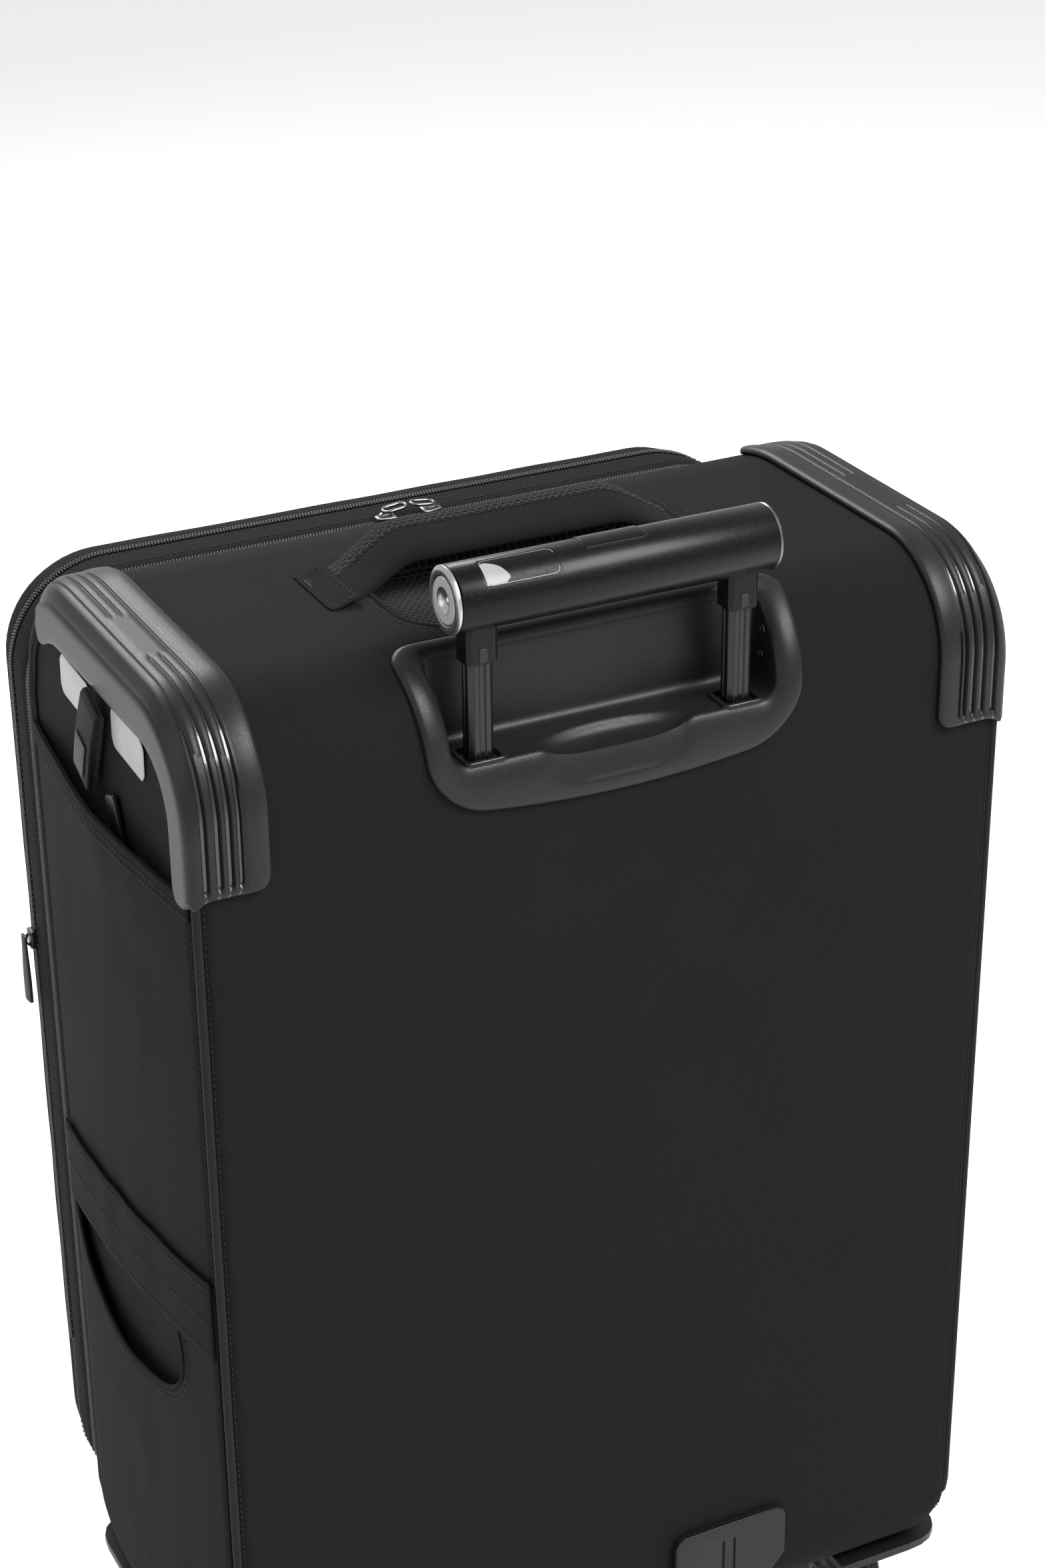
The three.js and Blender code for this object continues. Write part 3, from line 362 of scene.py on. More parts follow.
# %% Studio
def lamp(name, place, aim, size, power):
    light = bpy.data.lights.new(name, "AREA")
    light.shape = "RECTANGLE"
    light.size, light.size_y = size
    light.energy = power
    made = bpy.data.objects.new(name, light)
    bpy.context.scene.collection.objects.link(made)
    made.location = place
    made.rotation_euler = (Vector(aim) - Vector(place)).to_track_quat("-Z", "Y").to_euler()
    return made


floor_mesh = bpy.data.meshes.new("studio_floor")
floor_build = bmesh.new()
bmesh.ops.create_grid(floor_build, x_segments=4, y_segments=4, size=30)
floor_build.to_mesh(floor_mesh)
floor_build.free()
studio_floor = bpy.data.objects.new("studio_floor", floor_mesh)
bpy.context.scene.collection.objects.link(studio_floor)
floor_paper, floor_shader = start_finish("floor_paper", Base_Color=grey(0.76), Roughness=0.95,
                                         Emission_Color=(1, 1, 1, 1), Emission_Strength=0.34)
feed(floor_shader, Normal=raise_surface(grain(floor_paper, 4 * MM), 0.02 * MM, 0.2))
floor_mesh.materials.append(floor_paper)

world = bpy.data.worlds.new("studio_sky")
bpy.context.scene.world = world
world.use_nodes = True
LIT, SHOWN = 0.58, 0.96
shown = add_node(world, "ShaderNodeLightPath").outputs["Is Camera Ray"]
feed(world.node_tree.nodes["Background"], Color=(0.96, 0.98, 1.0, 1),
     Strength=ramp(shown, 0.0, 1.0, LIT, SHOWN))
bpy.context.scene.view_settings.view_transform = "Standard"

lamp("key_lamp", (-0.9, 1.6, 2.6), (0, 0, 0.45), (1.8, 1.2), 104)
lamp("side_lamp", (2.4, 0.2, 1.5), (0, 0, 0.4), (1.2, 1.8), 10)
lamp("back_lamp", (0.3, -2.2, 2.2), (0, 0, 0.6), (2.0, 0.9), 62)

# %% [markdown]
# ## The case's own shape
# The wrapped panel is one long strip. It starts at the zip, runs back over the top, rolls down the back and
# comes forwards again under the base. A track holds that line and its outward direction at every distance.
# `on_wrap` puts a point of the flat strip on the case, and `soften` rounds the long edges. ROLL_LAST counts
# the track's points from the zip to the end of the roll.

# %% The case's own shape
class Track:
    """A line in two coordinates that can be asked for a place and a normal at a distance along it."""

    def __init__(self, points):
        self.points = np.array(points, float)
        steps = np.diff(self.points, axis=0)
        self.reach = np.concatenate([[0], np.cumsum(np.hypot(steps[:, 0], steps[:, 1]))])
        slope = np.gradient(self.points, self.reach, axis=0)
        normal = np.stack([slope[:, 1], -slope[:, 0]], axis=1)
        self.normals = normal / np.linalg.norm(normal, axis=1)[:, None]
        self.length = self.reach[-1]

    def at(self, distance, out=0.0):
        place = [np.interp(distance, self.reach, self.points[:, k]) for k in (0, 1)]
        away = np.array([np.interp(distance, self.reach, self.normals[:, k]) for k in (0, 1)])
        away /= np.linalg.norm(away)
        return place[0] + away[0] * out, place[1] + away[1] * out


def arc(centre, radius, start, end, steps):
    angles = [radians(start + (end - start) * i / steps) for i in range(steps + 1)]
    return [(centre[0] + radius * cos(a), centre[1] + radius * sin(a)) for a in angles]


def wrap_points():
    fall = []
    for i in range(24):
        run = sin((1 - i / 24) * pi / 2)
        fall.append((DEPTH - FALL_RUN * (1 - run), TOP - FALL * run * run))
    flat = [(DEPTH - FALL_RUN - i * 5 * MM, TOP) for i in range(23)]
    roll = arc((BACK_TOP, TOP - BACK_TOP), BACK_TOP, 90, 180, 24)
    down = [(0, TOP - BACK_TOP - i * 5 * MM) for i in range(1, 108)]
    under = arc((BACK_BASE, BASE + BACK_BASE), BACK_BASE, 180, 270, 12)
    base = [(BACK_BASE + i * 5 * MM, BASE) for i in range(1, 42)]
    line = fall + flat + roll + [p for p in down if p[1] > BASE + BACK_BASE + 1 * MM] + under
    return line + [p for p in base if p[0] < DEPTH - 1 * MM] + [(DEPTH, BASE)]


wrap_track = Track(wrap_points())
ROLL_LAST = 72


def on_top(depth):
    """Distance along the strip of a depth on the top panel or its roll."""
    return float(np.interp(-depth, -wrap_track.points[:ROLL_LAST, 0], wrap_track.reach[:ROLL_LAST]))


ROLL_START = on_top(BACK_TOP)
ROLL_END = ROLL_START + BACK_TOP * pi / 2


def on_back(height):
    """Distance along the strip of a height on the back panel."""
    return ROLL_END + (TOP - BACK_TOP - height)


def drift(x, y, z):
    """A slow wander from -1 to 1 that is the same on each run."""
    return noise.noise(Vector((x, y, z)))


def ease(value, low, high):
    share = min(max((value - low) / (high - low), 0), 1)
    return share * share * (3 - 2 * share)


def corner_radius(depth, front, back):
    run = min(max((depth - (DEPTH - front)) / front, 0), 1)
    return back + (front - back) * (1 - sqrt(1 - run * run))


def soften(x, y, z):
    depth = BACK - y
    upper = z > MIDDLE
    over = (corner_radius(depth, FRONT_CORNER, BACK_CORNER) if upper
            else corner_radius(depth, BASE_CORNER, BACK_BASE))
    past = min(max(abs(x) - (HALF - over), 0), over * 0.985)
    drop = (over - sqrt(over * over - past * past)) * ease(abs(z - MIDDLE), 40 * MM, 180 * MM)
    return Vector((x, y, z - drop if upper else z + drop))


def on_wrap(x, distance, out=0.0):
    depth, z = wrap_track.at(distance, out)
    return soften(x, BACK - depth, z)


print("strip length", round(wrap_track.length, 3), "roll", round(ROLL_START, 3), round(ROLL_END, 3))

# %% [markdown]
# ## Mesh helpers
# Cloth is cut flat and then laid on the case, as a machinist would do it. `flat_panel` makes the flat grid.
# `trim` slices it along an outline with bisect and drops what lies outside, or inside for a hole. `lay`
# keeps the flat places as the UV map and moves each vertex to where it lies.

# %% Mesh helpers
def keep_flat_map(build):
    flat = build.loops.layers.uv.verify()
    for face in build.faces:
        for corner in face.loops:
            corner[flat].uv = corner.vert.co.xy
    return build


def flat_panel(u_low, u_high, v_low, v_high, step):
    build = bmesh.new()
    across = max(1, round((u_high - u_low) / step))
    along = max(1, round((v_high - v_low) / step))
    bmesh.ops.create_grid(build, x_segments=across, y_segments=along, size=0.5)
    for vert in build.verts:
        vert.co = Vector((
            u_low + (vert.co.x + 0.5) * (u_high - u_low), v_low + (vert.co.y + 0.5) * (v_high - v_low), 0,
        ))
    return build


def holds(outline, point):
    """Whether a closed outline holds a point."""
    inside = False
    for (ax, ay), (bx, by) in round_pairs(outline):
        if (ay > point[1]) != (by > point[1]):
            if point[0] < (bx - ax) * (point[1] - ay) / (by - ay) + ax:
                inside = not inside
    return inside


def trim(build, outline, keep_inside=True, near=8 * MM):
    for a, b in round_pairs(outline):
        start, run = Vector((a[0], a[1], 0)), Vector((b[0] - a[0], b[1] - a[1], 0))
        if run.length < 1e-6:
            continue
        close = []
        for face in build.faces:
            away = face.calc_center_median() - start
            share = min(max(away.dot(run) / run.length_squared, 0), 1)
            if (away - run * share).length < near:
                close.append(face)
        parts = close + list({e for f in close for e in f.edges}) + list({v for f in close for v in f.verts})
        bmesh.ops.bisect_plane(
            build, geom=parts, dist=1e-6, plane_co=start, plane_no=(-run.y, run.x, 0),
        )
    waste = [f for f in build.faces if holds(outline, f.calc_center_median()) != keep_inside]
    bmesh.ops.delete(build, geom=waste, context="FACES")
    return build


def cut_panel(outline, step, near=None):
    """A flat panel just big enough for an outline, trimmed to it."""
    us, vs = zip(*outline)
    return trim(flat_panel(min(us), max(us), min(vs), max(vs), step), outline, near=near or 2 * step)


def face_out(build):
    bmesh.ops.recalc_face_normals(build, faces=build.faces)


def outward(build, measure):
    """Makes the faces look one way, the way in which the measure's sum is positive."""
    face_out(build)
    if sum(measure(f) for f in build.faces) < 0:
        bmesh.ops.reverse_faces(build, faces=build.faces)


def round_pairs(ring):
    return zip(ring, ring[1:] + ring[:1])


def add_loop(build, points):
    """A closed loop of new edges through a ring of points."""
    return [build.edges.new(ends) for ends in round_pairs([build.verts.new(p) for p in points])]


def bridge(build, loops):
    for near_loop, far_loop in zip(loops, loops[1:]):
        bmesh.ops.bridge_loops(build, edges=near_loop + far_loop)


def indexed_grid(build, columns, rows):
    """Adds a grid, and gives each vertex its place in it as (column, row)."""
    bmesh.ops.create_grid(build, x_segments=columns, y_segments=rows, size=0.5)
    return {v: (round((v.co.x + 0.5) * columns), round((v.co.y + 0.5) * rows)) for v in build.verts}


def lay(build, place):
    """Keeps the flat places as the UV map, then moves every vertex to where the cloth lies."""
    keep_flat_map(build)
    for vert in build.verts:
        vert.co = place(vert.co.x, vert.co.y)
    return build


def box_map(build):
    """A UV map in metres for a piece that was never flat: each face is mapped straight on."""
    flat = build.loops.layers.uv.verify()
    build.normal_update()
    for face in build.faces:
        n = face.normal
        axis = max(range(3), key=lambda k: abs(n[k]))
        for corner in face.loops:
            co = corner.vert.co
            corner[flat].uv = ((co.y, co.z), (co.x, co.z), (co.x, co.y))[axis]
    return build


def finish_piece(name, build, finish, slot, body, stands_for=(), sharp=40, rides=True):
    mesh = bpy.data.meshes.new(name)
    build.to_mesh(mesh)
    build.free()
    mesh.materials.append(finish)
    mesh.shade_smooth()
    mesh.set_sharp_from_angle(angle=radians(sharp))
    piece = bpy.data.objects.new(name, mesh)
    bpy.context.scene.collection.objects.link(piece)
    if rides:
        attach(piece, body)
    if stands_for:
        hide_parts(*stands_for)
    print(f"{name}: {len(mesh.polygons)} faces on {body}")
    return piece


def thicken(piece, thickness, offset=-1.0):
    wall = piece.modifiers.new("wall", "SOLIDIFY")
    wall.thickness, wall.offset = thickness, offset
    return piece


def round_edges(piece, width, segments=2, angle=35):
    edge = piece.modifiers.new("edge", "BEVEL")
    edge.width, edge.segments = width, segments
    edge.limit_method, edge.angle_limit = "ANGLE", radians(angle)
    edge.harden_normals = False
    return piece


def subdivide(piece, levels=1):
    soft = piece.modifiers.new("soft", "SUBSURF")
    soft.levels = soft.render_levels = levels
    return piece


def rounded_outline(a_low, b_low, a_high, b_high, low_radius, high_radius=None, steps=8):
    high = low_radius if high_radius is None else high_radius
    low = low_radius
    return (
        arc((a_high - low, b_low + low), low, -90, 0, steps)
        + arc((a_high - high, b_high - high), high, 0, 90, steps)
        + arc((a_low + high, b_high - high), high, 90, 180, steps)
        + arc((a_low + low, b_low + low), low, 180, 270, steps)
    )


print("mesh helpers ready")

# %% [markdown]
# ## Sweeps, turned pieces and repeats
# A binding, strap or cord is a cross-section carried along a path. `sweep` starts from a flat grid, one
# side for the section and the other for the path, so it has a UV map in metres as well. `swept` makes a
# finished piece of one. `turned` spins a profile as a lathe does. `repeated` sets down copies of one small
# mesh.

# %% Sweeps, turned pieces and repeats
def path_frames(points, ups):
    frames = []
    count = len(points)
    for i, point in enumerate(points):
        before, after = points[max(i - 1, 0)], points[min(i + 1, count - 1)]
        along = (after - before).normalized()
        side = along.cross(ups[i]).normalized()
        frames.append((point, side, side.cross(along)))
    return frames


def ring_frames(points, ups):
    frames = []
    count = len(points)
    for i in range(count + 1):
        k = i % count
        along = (points[(k + 1) % count] - points[k - 1]).normalized()
        side = along.cross(ups[k]).normalized()
        frames.append((points[k], side, side.cross(along)))
    return frames


def sweep(frames, section, closed_section=False):
    """A section of (side, up) points carried along a list of frames."""
    rim = section + section[:1] if closed_section else section
    widths = np.concatenate([[0], np.cumsum([dist(a, b) for a, b in zip(rim, rim[1:])])])
    lengths = np.concatenate([[0], np.cumsum([(b[0] - a[0]).length for a, b in zip(frames, frames[1:])])])
    build = bmesh.new()
    index = indexed_grid(build, len(rim) - 1, len(frames) - 1)
    flat = build.loops.layers.uv.verify()
    for face in build.faces:
        for corner in face.loops:
            i, j = index[corner.vert]
            corner[flat].uv = (widths[i], lengths[j])
    for vert, (i, j) in index.items():
        place, side, up = frames[j]
        vert.co = place + side * rim[i][0] + up * rim[i][1]
    bmesh.ops.remove_doubles(build, verts=build.verts, dist=1e-6)
    face_out(build)
    return build


def swept(name, points, ups, section, *look, stands_for=(), sharp=60, ring=True, closed=True):
    """A piece made by a section carried round a ring of points, or along a path of them."""
    ups = [ups] * len(points) if isinstance(ups, Vector) else ups
    frames = ring_frames(points, ups) if ring else path_frames(points, ups)
    return finish_piece(name, sweep(frames, section, closed), *look, stands_for, sharp)


def round_section(radius, steps=8, centre=(0, 0)):
    return arc(centre, radius, 0, 360, steps)[:-1]


def flat_section(half, low, high, corner, drop):
    """A flat strip's section in millimetres, with its two upper corners cut."""
    rise = [(half, low), (half, high - drop), (half - corner, high)]
    return [(-x * MM, z * MM) for x, z in rise] + [(x * MM, z * MM) for x, z in rise[::-1]]


def turned(profile, centre, steps=64):
    """A profile of (along, radius) points spun round the x axis through a centre."""
    build = bmesh.new()
    verts = [build.verts.new((along, 0, radius)) for along, radius in profile]
    for a, b in zip(verts, verts[1:]):
        build.edges.new((a, b))
    bmesh.ops.spin(
        build, geom=build.verts[:] + build.edges[:], cent=(0, 0, 0), axis=(1, 0, 0),
        angle=2 * pi, steps=steps, use_merge=True,
    )
    bmesh.ops.remove_doubles(build, verts=build.verts, dist=1e-6)
    face_out(build)
    bmesh.ops.translate(build, vec=centre, verts=build.verts)
    return build


def repeated(mesh, matrices):
    build = bmesh.new()
    for matrix in matrices:
        one = mesh.copy()
        one.transform(matrix)
        build.from_mesh(one)
        bpy.data.meshes.remove(one)
    return build


def boxed(place, size):
    """Where a unit cube or ball goes to fill a box."""
    return Matrix.Translation(place) @ Matrix.Diagonal((*size, 1))


def small_mesh(build):
    mesh = bpy.data.meshes.new("small")
    build.to_mesh(mesh)
    build.free()
    return mesh


def resample(points, spacing):
    """Evenly spaced points along a line of Vectors."""
    reach = np.concatenate([[0], np.cumsum([(b - a).length for a, b in zip(points, points[1:])])])
    count = max(2, round(reach[-1] / spacing) + 1)
    at = np.linspace(0, reach[-1], count)
    columns = [np.interp(at, reach, [p[k] for p in points]) for k in range(3)]
    return [Vector(p) for p in zip(*columns)]


ball_build = bmesh.new()
bmesh.ops.create_uvsphere(ball_build, u_segments=6, v_segments=4, radius=0.5)
BALL = small_mesh(ball_build)


def stitch_matrices(points, ups, length=2.6 * MM, gap=1.1 * MM, thick=0.55 * MM, lift=0.12 * MM):
    """One squashed bead of thread for each stitch along a line that lies on a surface."""
    ups = [ups] * len(points) if isinstance(ups, Vector) else ups
    line = resample(points, (length + gap) / 2)
    guide = [min(range(len(points)), key=lambda k, p=p: (points[k] - p).length_squared) for p in line]
    matrices = []
    for i in range(1, len(line) - 1, 2):
        along = (line[i + 1] - line[i - 1]).normalized()
        up = ups[guide[i]]
        side = along.cross(up).normalized()
        turn = Matrix((along * length, side * thick, side.cross(along) * thick)).transposed().to_4x4()
        matrices.append(Matrix.Translation(line[i] + up * lift) @ turn)
    return matrices


print("sweep and repeat helpers ready")

# %% [markdown]
# ## Wrapped panel
# The top, back and base of the case are one panel of shell fabric over foam. It is cut flat, with a hole
# for the handle cup and one for the hollow under the carry handle, then laid on the track. Foam never lies
# flat, so a slow noise lifts the cloth by fractions of a millimetre, and the cloth swells a little round
# the hollow.

# %% Wrapped panel
recess_low, recess_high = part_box("handle_recess")
RECESS_HALF = recess_high.x + 0.3 * MM
RECESS_BACK, RECESS_FRONT = BACK - recess_high.y - 0.3 * MM, BACK - recess_low.y + 0.3 * MM
CUP_HALF, CUP_DEPTH, CUP_FLOOR, CUP_FLOOR_HALF = 90 * MM, 30 * MM, TOP - 50 * MM, 87 * MM


def foam(u, v, size=70 * MM, height=0.5 * MM):
    return drift(u / size, v / size, 3.1) * height


def recess_swell(x, distance):
    dx = max(abs(x) - RECESS_HALF, 0)
    dv = max(on_top(RECESS_FRONT) - distance, distance - on_top(RECESS_BACK), 0)
    return 1.6 * MM * exp(-((dx * dx + dv * dv) / (11 * MM) ** 2))


def wrap_lift(x, distance):
    return foam(x, distance) + (recess_swell(x, distance) if distance < ROLL_START + 20 * MM else 0)


wrap_build = flat_panel(-wrap_high.x, wrap_high.x, 0, wrap_track.length, 6 * MM)
hollow_line = rounded_outline(-RECESS_HALF, on_top(RECESS_FRONT), RECESS_HALF, on_top(RECESS_BACK), 26 * MM)
cup_line = rounded_outline(-CUP_HALF - 4 * MM, on_top(CUP_DEPTH + 3 * MM), CUP_HALF + 4 * MM,
                           on_back(CUP_FLOOR - 12 * MM), 12 * MM, steps=3)
trim(wrap_build, hollow_line, keep_inside=False)
trim(wrap_build, cup_line, keep_inside=False)
lay(wrap_build, lambda x, d: on_wrap(x, d, wrap_lift(x, d)))
face_out(wrap_build)
wrap_cloth = finish_piece("wrap_cloth", wrap_build, shell, "shell_fabric", "case", ["fabric_wrap"])
thicken(wrap_cloth, 1.6 * MM)

# %% [markdown]
# ## Hollow under the carry handle
# A shallow tray of spacer mesh is let into the top, so that fingers pass under the handle. It is a flat
# panel trimmed to the same outline as the hole. Each point sinks by how far it is inside the edge, with a
# round fillet at the wall, and a piped edge runs round the opening.

# %% Hollow under the carry handle
HOLLOW_DROP, HOLLOW_CORNER = 13 * MM, 26 * MM


def rim_distance(x, d):
    """How far a point of the strip is inside the hollow's rounded outline."""
    middle = (on_top(RECESS_FRONT) + on_top(RECESS_BACK)) / 2
    half = (on_top(RECESS_BACK) - on_top(RECESS_FRONT)) / 2
    a, b = abs(x) - (RECESS_HALF - HOLLOW_CORNER), abs(d - middle) - (half - HOLLOW_CORNER)
    outside = hypot(max(a, 0), max(b, 0))
    return HOLLOW_CORNER - outside - min(max(a, b), 0)


def sink(x, d):
    share = min(max(rim_distance(x, d) / HOLLOW_DROP, 0), 1)
    return -HOLLOW_DROP * (1 - (1 - share) ** 2.6) + 1.2 * MM * (1 - share) ** 6


hollow_build = flat_panel(-RECESS_HALF, RECESS_HALF, on_top(RECESS_FRONT), on_top(RECESS_BACK), 3 * MM)
trim(hollow_build, hollow_line, near=6 * MM)
lay(hollow_build, lambda x, d: on_wrap(x, d, sink(x, d)))
face_out(hollow_build)
hollow_mesh = finish_piece("hollow_mesh", hollow_build, spacer, "mesh_fabric", "case", ["handle_recess"])
thicken(hollow_mesh, 1.2 * MM)


def wrap_frame(x, d, out):
    """A place on the wrap and the direction straight out of it there."""
    place = on_wrap(x, d, out)
    return place, (on_wrap(x, d, out + 1 * MM) - place).normalized()


rim_points, rim_ups = zip(*[wrap_frame(x, d, 1.1 * MM) for x, d in hollow_line])
swept("hollow_rim", rim_points, rim_ups, round_section(1.5 * MM), hem_cloth, "shell_fabric", "case",
      sharp=40)
stitches = []
outer_line = rounded_outline(-RECESS_HALF - 4 * MM, on_top(RECESS_FRONT) - 4 * MM, RECESS_HALF + 4 * MM,
                             on_top(RECESS_BACK) + 2.2 * MM, 30 * MM)
outer_points, outer_ups = zip(*[wrap_frame(x, d, wrap_lift(x, d)) for x, d in outer_line + outer_line[:1]])
stitches += stitch_matrices(list(outer_points), list(outer_ups))

# %% [markdown]
# ## Corner guards
# Each long top corner wears a moulded guard that runs from the front of the top, over the roll and down the
# back, with a flank down the side. Its cross-section is a round inner band, four grooves and a round outer
# edge. The middle two grooves stop short of a plain pad on top, and all four are deeper and glossier down
# the back.

# %% Corner guards
guard_low, guard_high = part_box("corner_guard_right")
GUARD_IN, GUARD_OUT = guard_low.x, guard_high.x
GUARD_START, GUARD_STOP = on_top(205 * MM), on_back(guard_low.z)
FLANK = 20 * MM
GROOVES = ((14.2 * MM, False), (19.7 * MM, True), (25.2 * MM, True), (32.0 * MM, False))
END_ROUND = 9 * MM


def guard_section(d):
    """Outline across the guard at a distance along the strip, as (x, out, groove bottom) points."""
    down = ease(d, ROLL_START + 15 * MM, ROLL_END - 10 * MM)
    width, depth = (0.5 + 0.75 * down) * MM, (0.8 + 1.3 * down) * MM
    pad = ease(d, on_top(128 * MM), on_top(123 * MM)) * (1 - ease(d, on_top(77 * MM), on_top(72 * MM)))
    ends = ease(d, GUARD_START + 9 * MM,
                GUARD_START + 14 * MM) * (1 - ease(d, GUARD_STOP - 7 * MM, GUARD_STOP - 3 * MM))
    points = [(0.4, 0.3), (0, 1.2), (0.1, 2.4), (0.8, 3.5), (2.2, 4.1), (5.5, 4.3), (9, 4.1), (11.3, 3.7),
              (12.3, 3.55)]
    points = [(GUARD_IN + x * MM, out * MM, False) for x, out in points]
    for place, middle in GROOVES:
        sunk = depth * ends * ((1 - pad) if middle else 1)
        x, top = GUARD_IN + place, 3.6 * MM
        points += [(x - width - 0.7 * MM, top, False), (x - width, top - sunk * 0.5, False),
                   (x - width * 0.6, top - sunk, False), (x + width * 0.6, top - sunk, True),
                   (x + width, top - sunk * 0.5, False), (x + width + 0.7 * MM, top, False)]
    rest = [(-5.2, 3.6), (-3.4, 3.1), (-1.8, 2.1), (-0.7, 0.7), (-0.1, -1.2), (0, -4), (0, -9), (0, -14),
            (0, -17.6), (-0.3, -19.2), (-1.1, -20), (-2.0, -19.8)]
    return points + [(GUARD_OUT + x * MM, out * MM, False) for x, out in rest]


def guard_place(side, d, x, out):
    near_end = min(d - GUARD_START, GUARD_STOP - d)
    bite = 1 - min(near_end / END_ROUND, 1)
    pull = END_ROUND * (1 - sqrt(max(1 - bite * bite, 0)))
    thin = sqrt(max(1 - (1 - min(near_end / (3 * MM), 1)) ** 2, 0))
    width = GUARD_OUT - GUARD_IN
    if out > 0:
        out = 0.25 * MM + (out - 0.25 * MM) * thin
        x = GUARD_IN + pull + (x - GUARD_IN) * (width - pull) / width
    else:
        out = out * (1 - pull / FLANK)
        x = HALF + 1 * MM + (x - HALF - 1 * MM) * (0.15 + 0.85 * thin)
    shoulder = exp(-((x - GUARD_OUT) / (4.5 * MM)) ** 2 - (out / (5 * MM)) ** 2)
    shift = 6 * MM * shoulder * (1 - ease(near_end, 0, 16 * MM))
    return on_wrap(side * x, d + (shift if d - GUARD_START < GUARD_STOP - d else -shift), out)


def corner_guard(name, side):
    rows = 260
    distances = [GUARD_START + (GUARD_STOP - GUARD_START) * (1 - cos(pi * i / rows)) / 2
                 for i in range(rows + 1)]
    sections = [guard_section(d) for d in distances]
    build = bmesh.new()
    index = indexed_grid(build, len(sections[0]) - 1, rows)
    for face in build.faces:
        cells = [index[v] for v in face.verts]
        i, j = min(c[0] for c in cells), max(c[1] for c in cells)
        if sections[j][i + 1][2] and distances[j] > ROLL_START + 35 * MM:
            face.material_index = 1
    for vert, (i, j) in index.items():
        vert.co = guard_place(side, distances[j], *sections[j][i][:2])
    outward(build, lambda f: f.normal.z)
    guard = finish_piece(f"guard_{name}", build, moulding, "moulded_plastic", "case",
                         [f"corner_guard_{name}"], 50)
    guard.data.materials.append(groove_gloss)
    thicken(guard, 1.1 * MM)


for name, side in SIDES:
    corner_guard(name, side)

# %% [markdown]
# ## Handle cup
# The grip drops into a moulded cup. Its surface is one run of loops: from the outer edge of the bezel, over
# the soft rim, through the mouth and straight forwards to the back wall, with a fillet at the end. The
# bezel's loops lie on the wrap; the inner ones leave it and go forwards. A dip in the mouth's lower lip
# makes the finger scoop.

# %% Handle cup
LOOP_STEPS = (40, 10, 12, 12, 96, 12, 12, 10)


def mouth_loop(half, low_half, top_distance, low_distance, top_radius, low_radius, crown):
    """A closed loop of (x, distance) points, the same number of points on each side for every size."""
    def corner(cx, cy, radius, start, steps):
        return [(cx + radius * cos(radians(start + 90 * i / steps)),
                 cy + radius * sin(radians(start + 90 * i / steps))) for i in range(steps)]

    def straight(a, b, steps):
        return [(a[0] + (b[0] - a[0]) * i / steps, a[1] + (b[1] - a[1]) * i / steps) for i in range(steps)]

    top_x, top_d = half - top_radius, top_distance + top_radius
    low_x, low_d = half - low_radius, low_distance - low_radius
    loop = straight((-top_x, top_distance), (top_x, top_distance), LOOP_STEPS[0])
    loop += corner(top_x, top_d, top_radius, -90, LOOP_STEPS[1])
    loop += straight((half, top_d), (half, low_d), LOOP_STEPS[2])
    loop += corner(low_x, low_d, low_radius, 0, LOOP_STEPS[3])
    loop += straight((low_x, low_distance), (-low_x, low_distance), LOOP_STEPS[4])
    loop += corner(-low_x, low_d, low_radius, 90, LOOP_STEPS[5])
    loop += straight((-half, low_d), (-half, top_d), LOOP_STEPS[6])
    loop += corner(-top_x, top_d, top_radius, 180, LOOP_STEPS[7])
    shaped = []
    for x, d in loop:
        down = (d - top_distance) / (low_distance - top_distance)
        taper = 1 + (low_half / half - 1) * down
        shaped.append((x * taper, d - crown * down * (x / half) ** 2))
    return shaped


BEZEL_TOP, BEZEL_LOW = on_top(38 * MM), on_back(TOP - 79 * MM)
MOUTH_TOP, MOUTH_LOW = on_top(CUP_DEPTH), on_back(CUP_FLOOR)
BEZEL_RISE = ((0.0, 0.2), (0.01, 1.4), (0.04, 2.5), (0.1, 3.3), (0.22, 3.7), (0.4, 3.7), (0.58, 3.3),
              (0.74, 2.5), (0.87, 1.3), (0.95, 0.3), (1.0, -0.9))


def between(a, b, share):
    return a + (b - a) * share


def bezel_loop(share):
    return mouth_loop(
        between(105.5 * MM, CUP_HALF, share), between(99 * MM, CUP_FLOOR_HALF, share),
        between(BEZEL_TOP, MOUTH_TOP, share), between(BEZEL_LOW, MOUTH_LOW, share),
        between(13 * MM, 7 * MM, share), between(30 * MM, 9 * MM, share), between(9 * MM, 0, share),
    )


def scoop_dip(x, z, depth):
    """How far the finger scoop lowers a point of the cup's lower lip and floor."""
    reach = (x / (42 * MM)) ** 2 + (max(depth - 3 * MM, 0) / (15 * MM)) ** 2
    low = ease(z, CUP_FLOOR + 6 * MM, CUP_FLOOR - 3 * MM) if z < CUP_FLOOR + 6 * MM else 0
    dish = 3.5 * MM * ease(1 - reach, 0, 0.42) + 5.0 * MM * ease(1 - reach, 0, 0.9)
    return dish * low


def dipped(place):
    depth = BACK - place.y
    lower_lip = 1 - ease(CUP_FLOOR - place.z, 9 * MM, 22 * MM)
    return place - Vector((0, 0, scoop_dip(place.x, place.z, depth) * lower_lip))


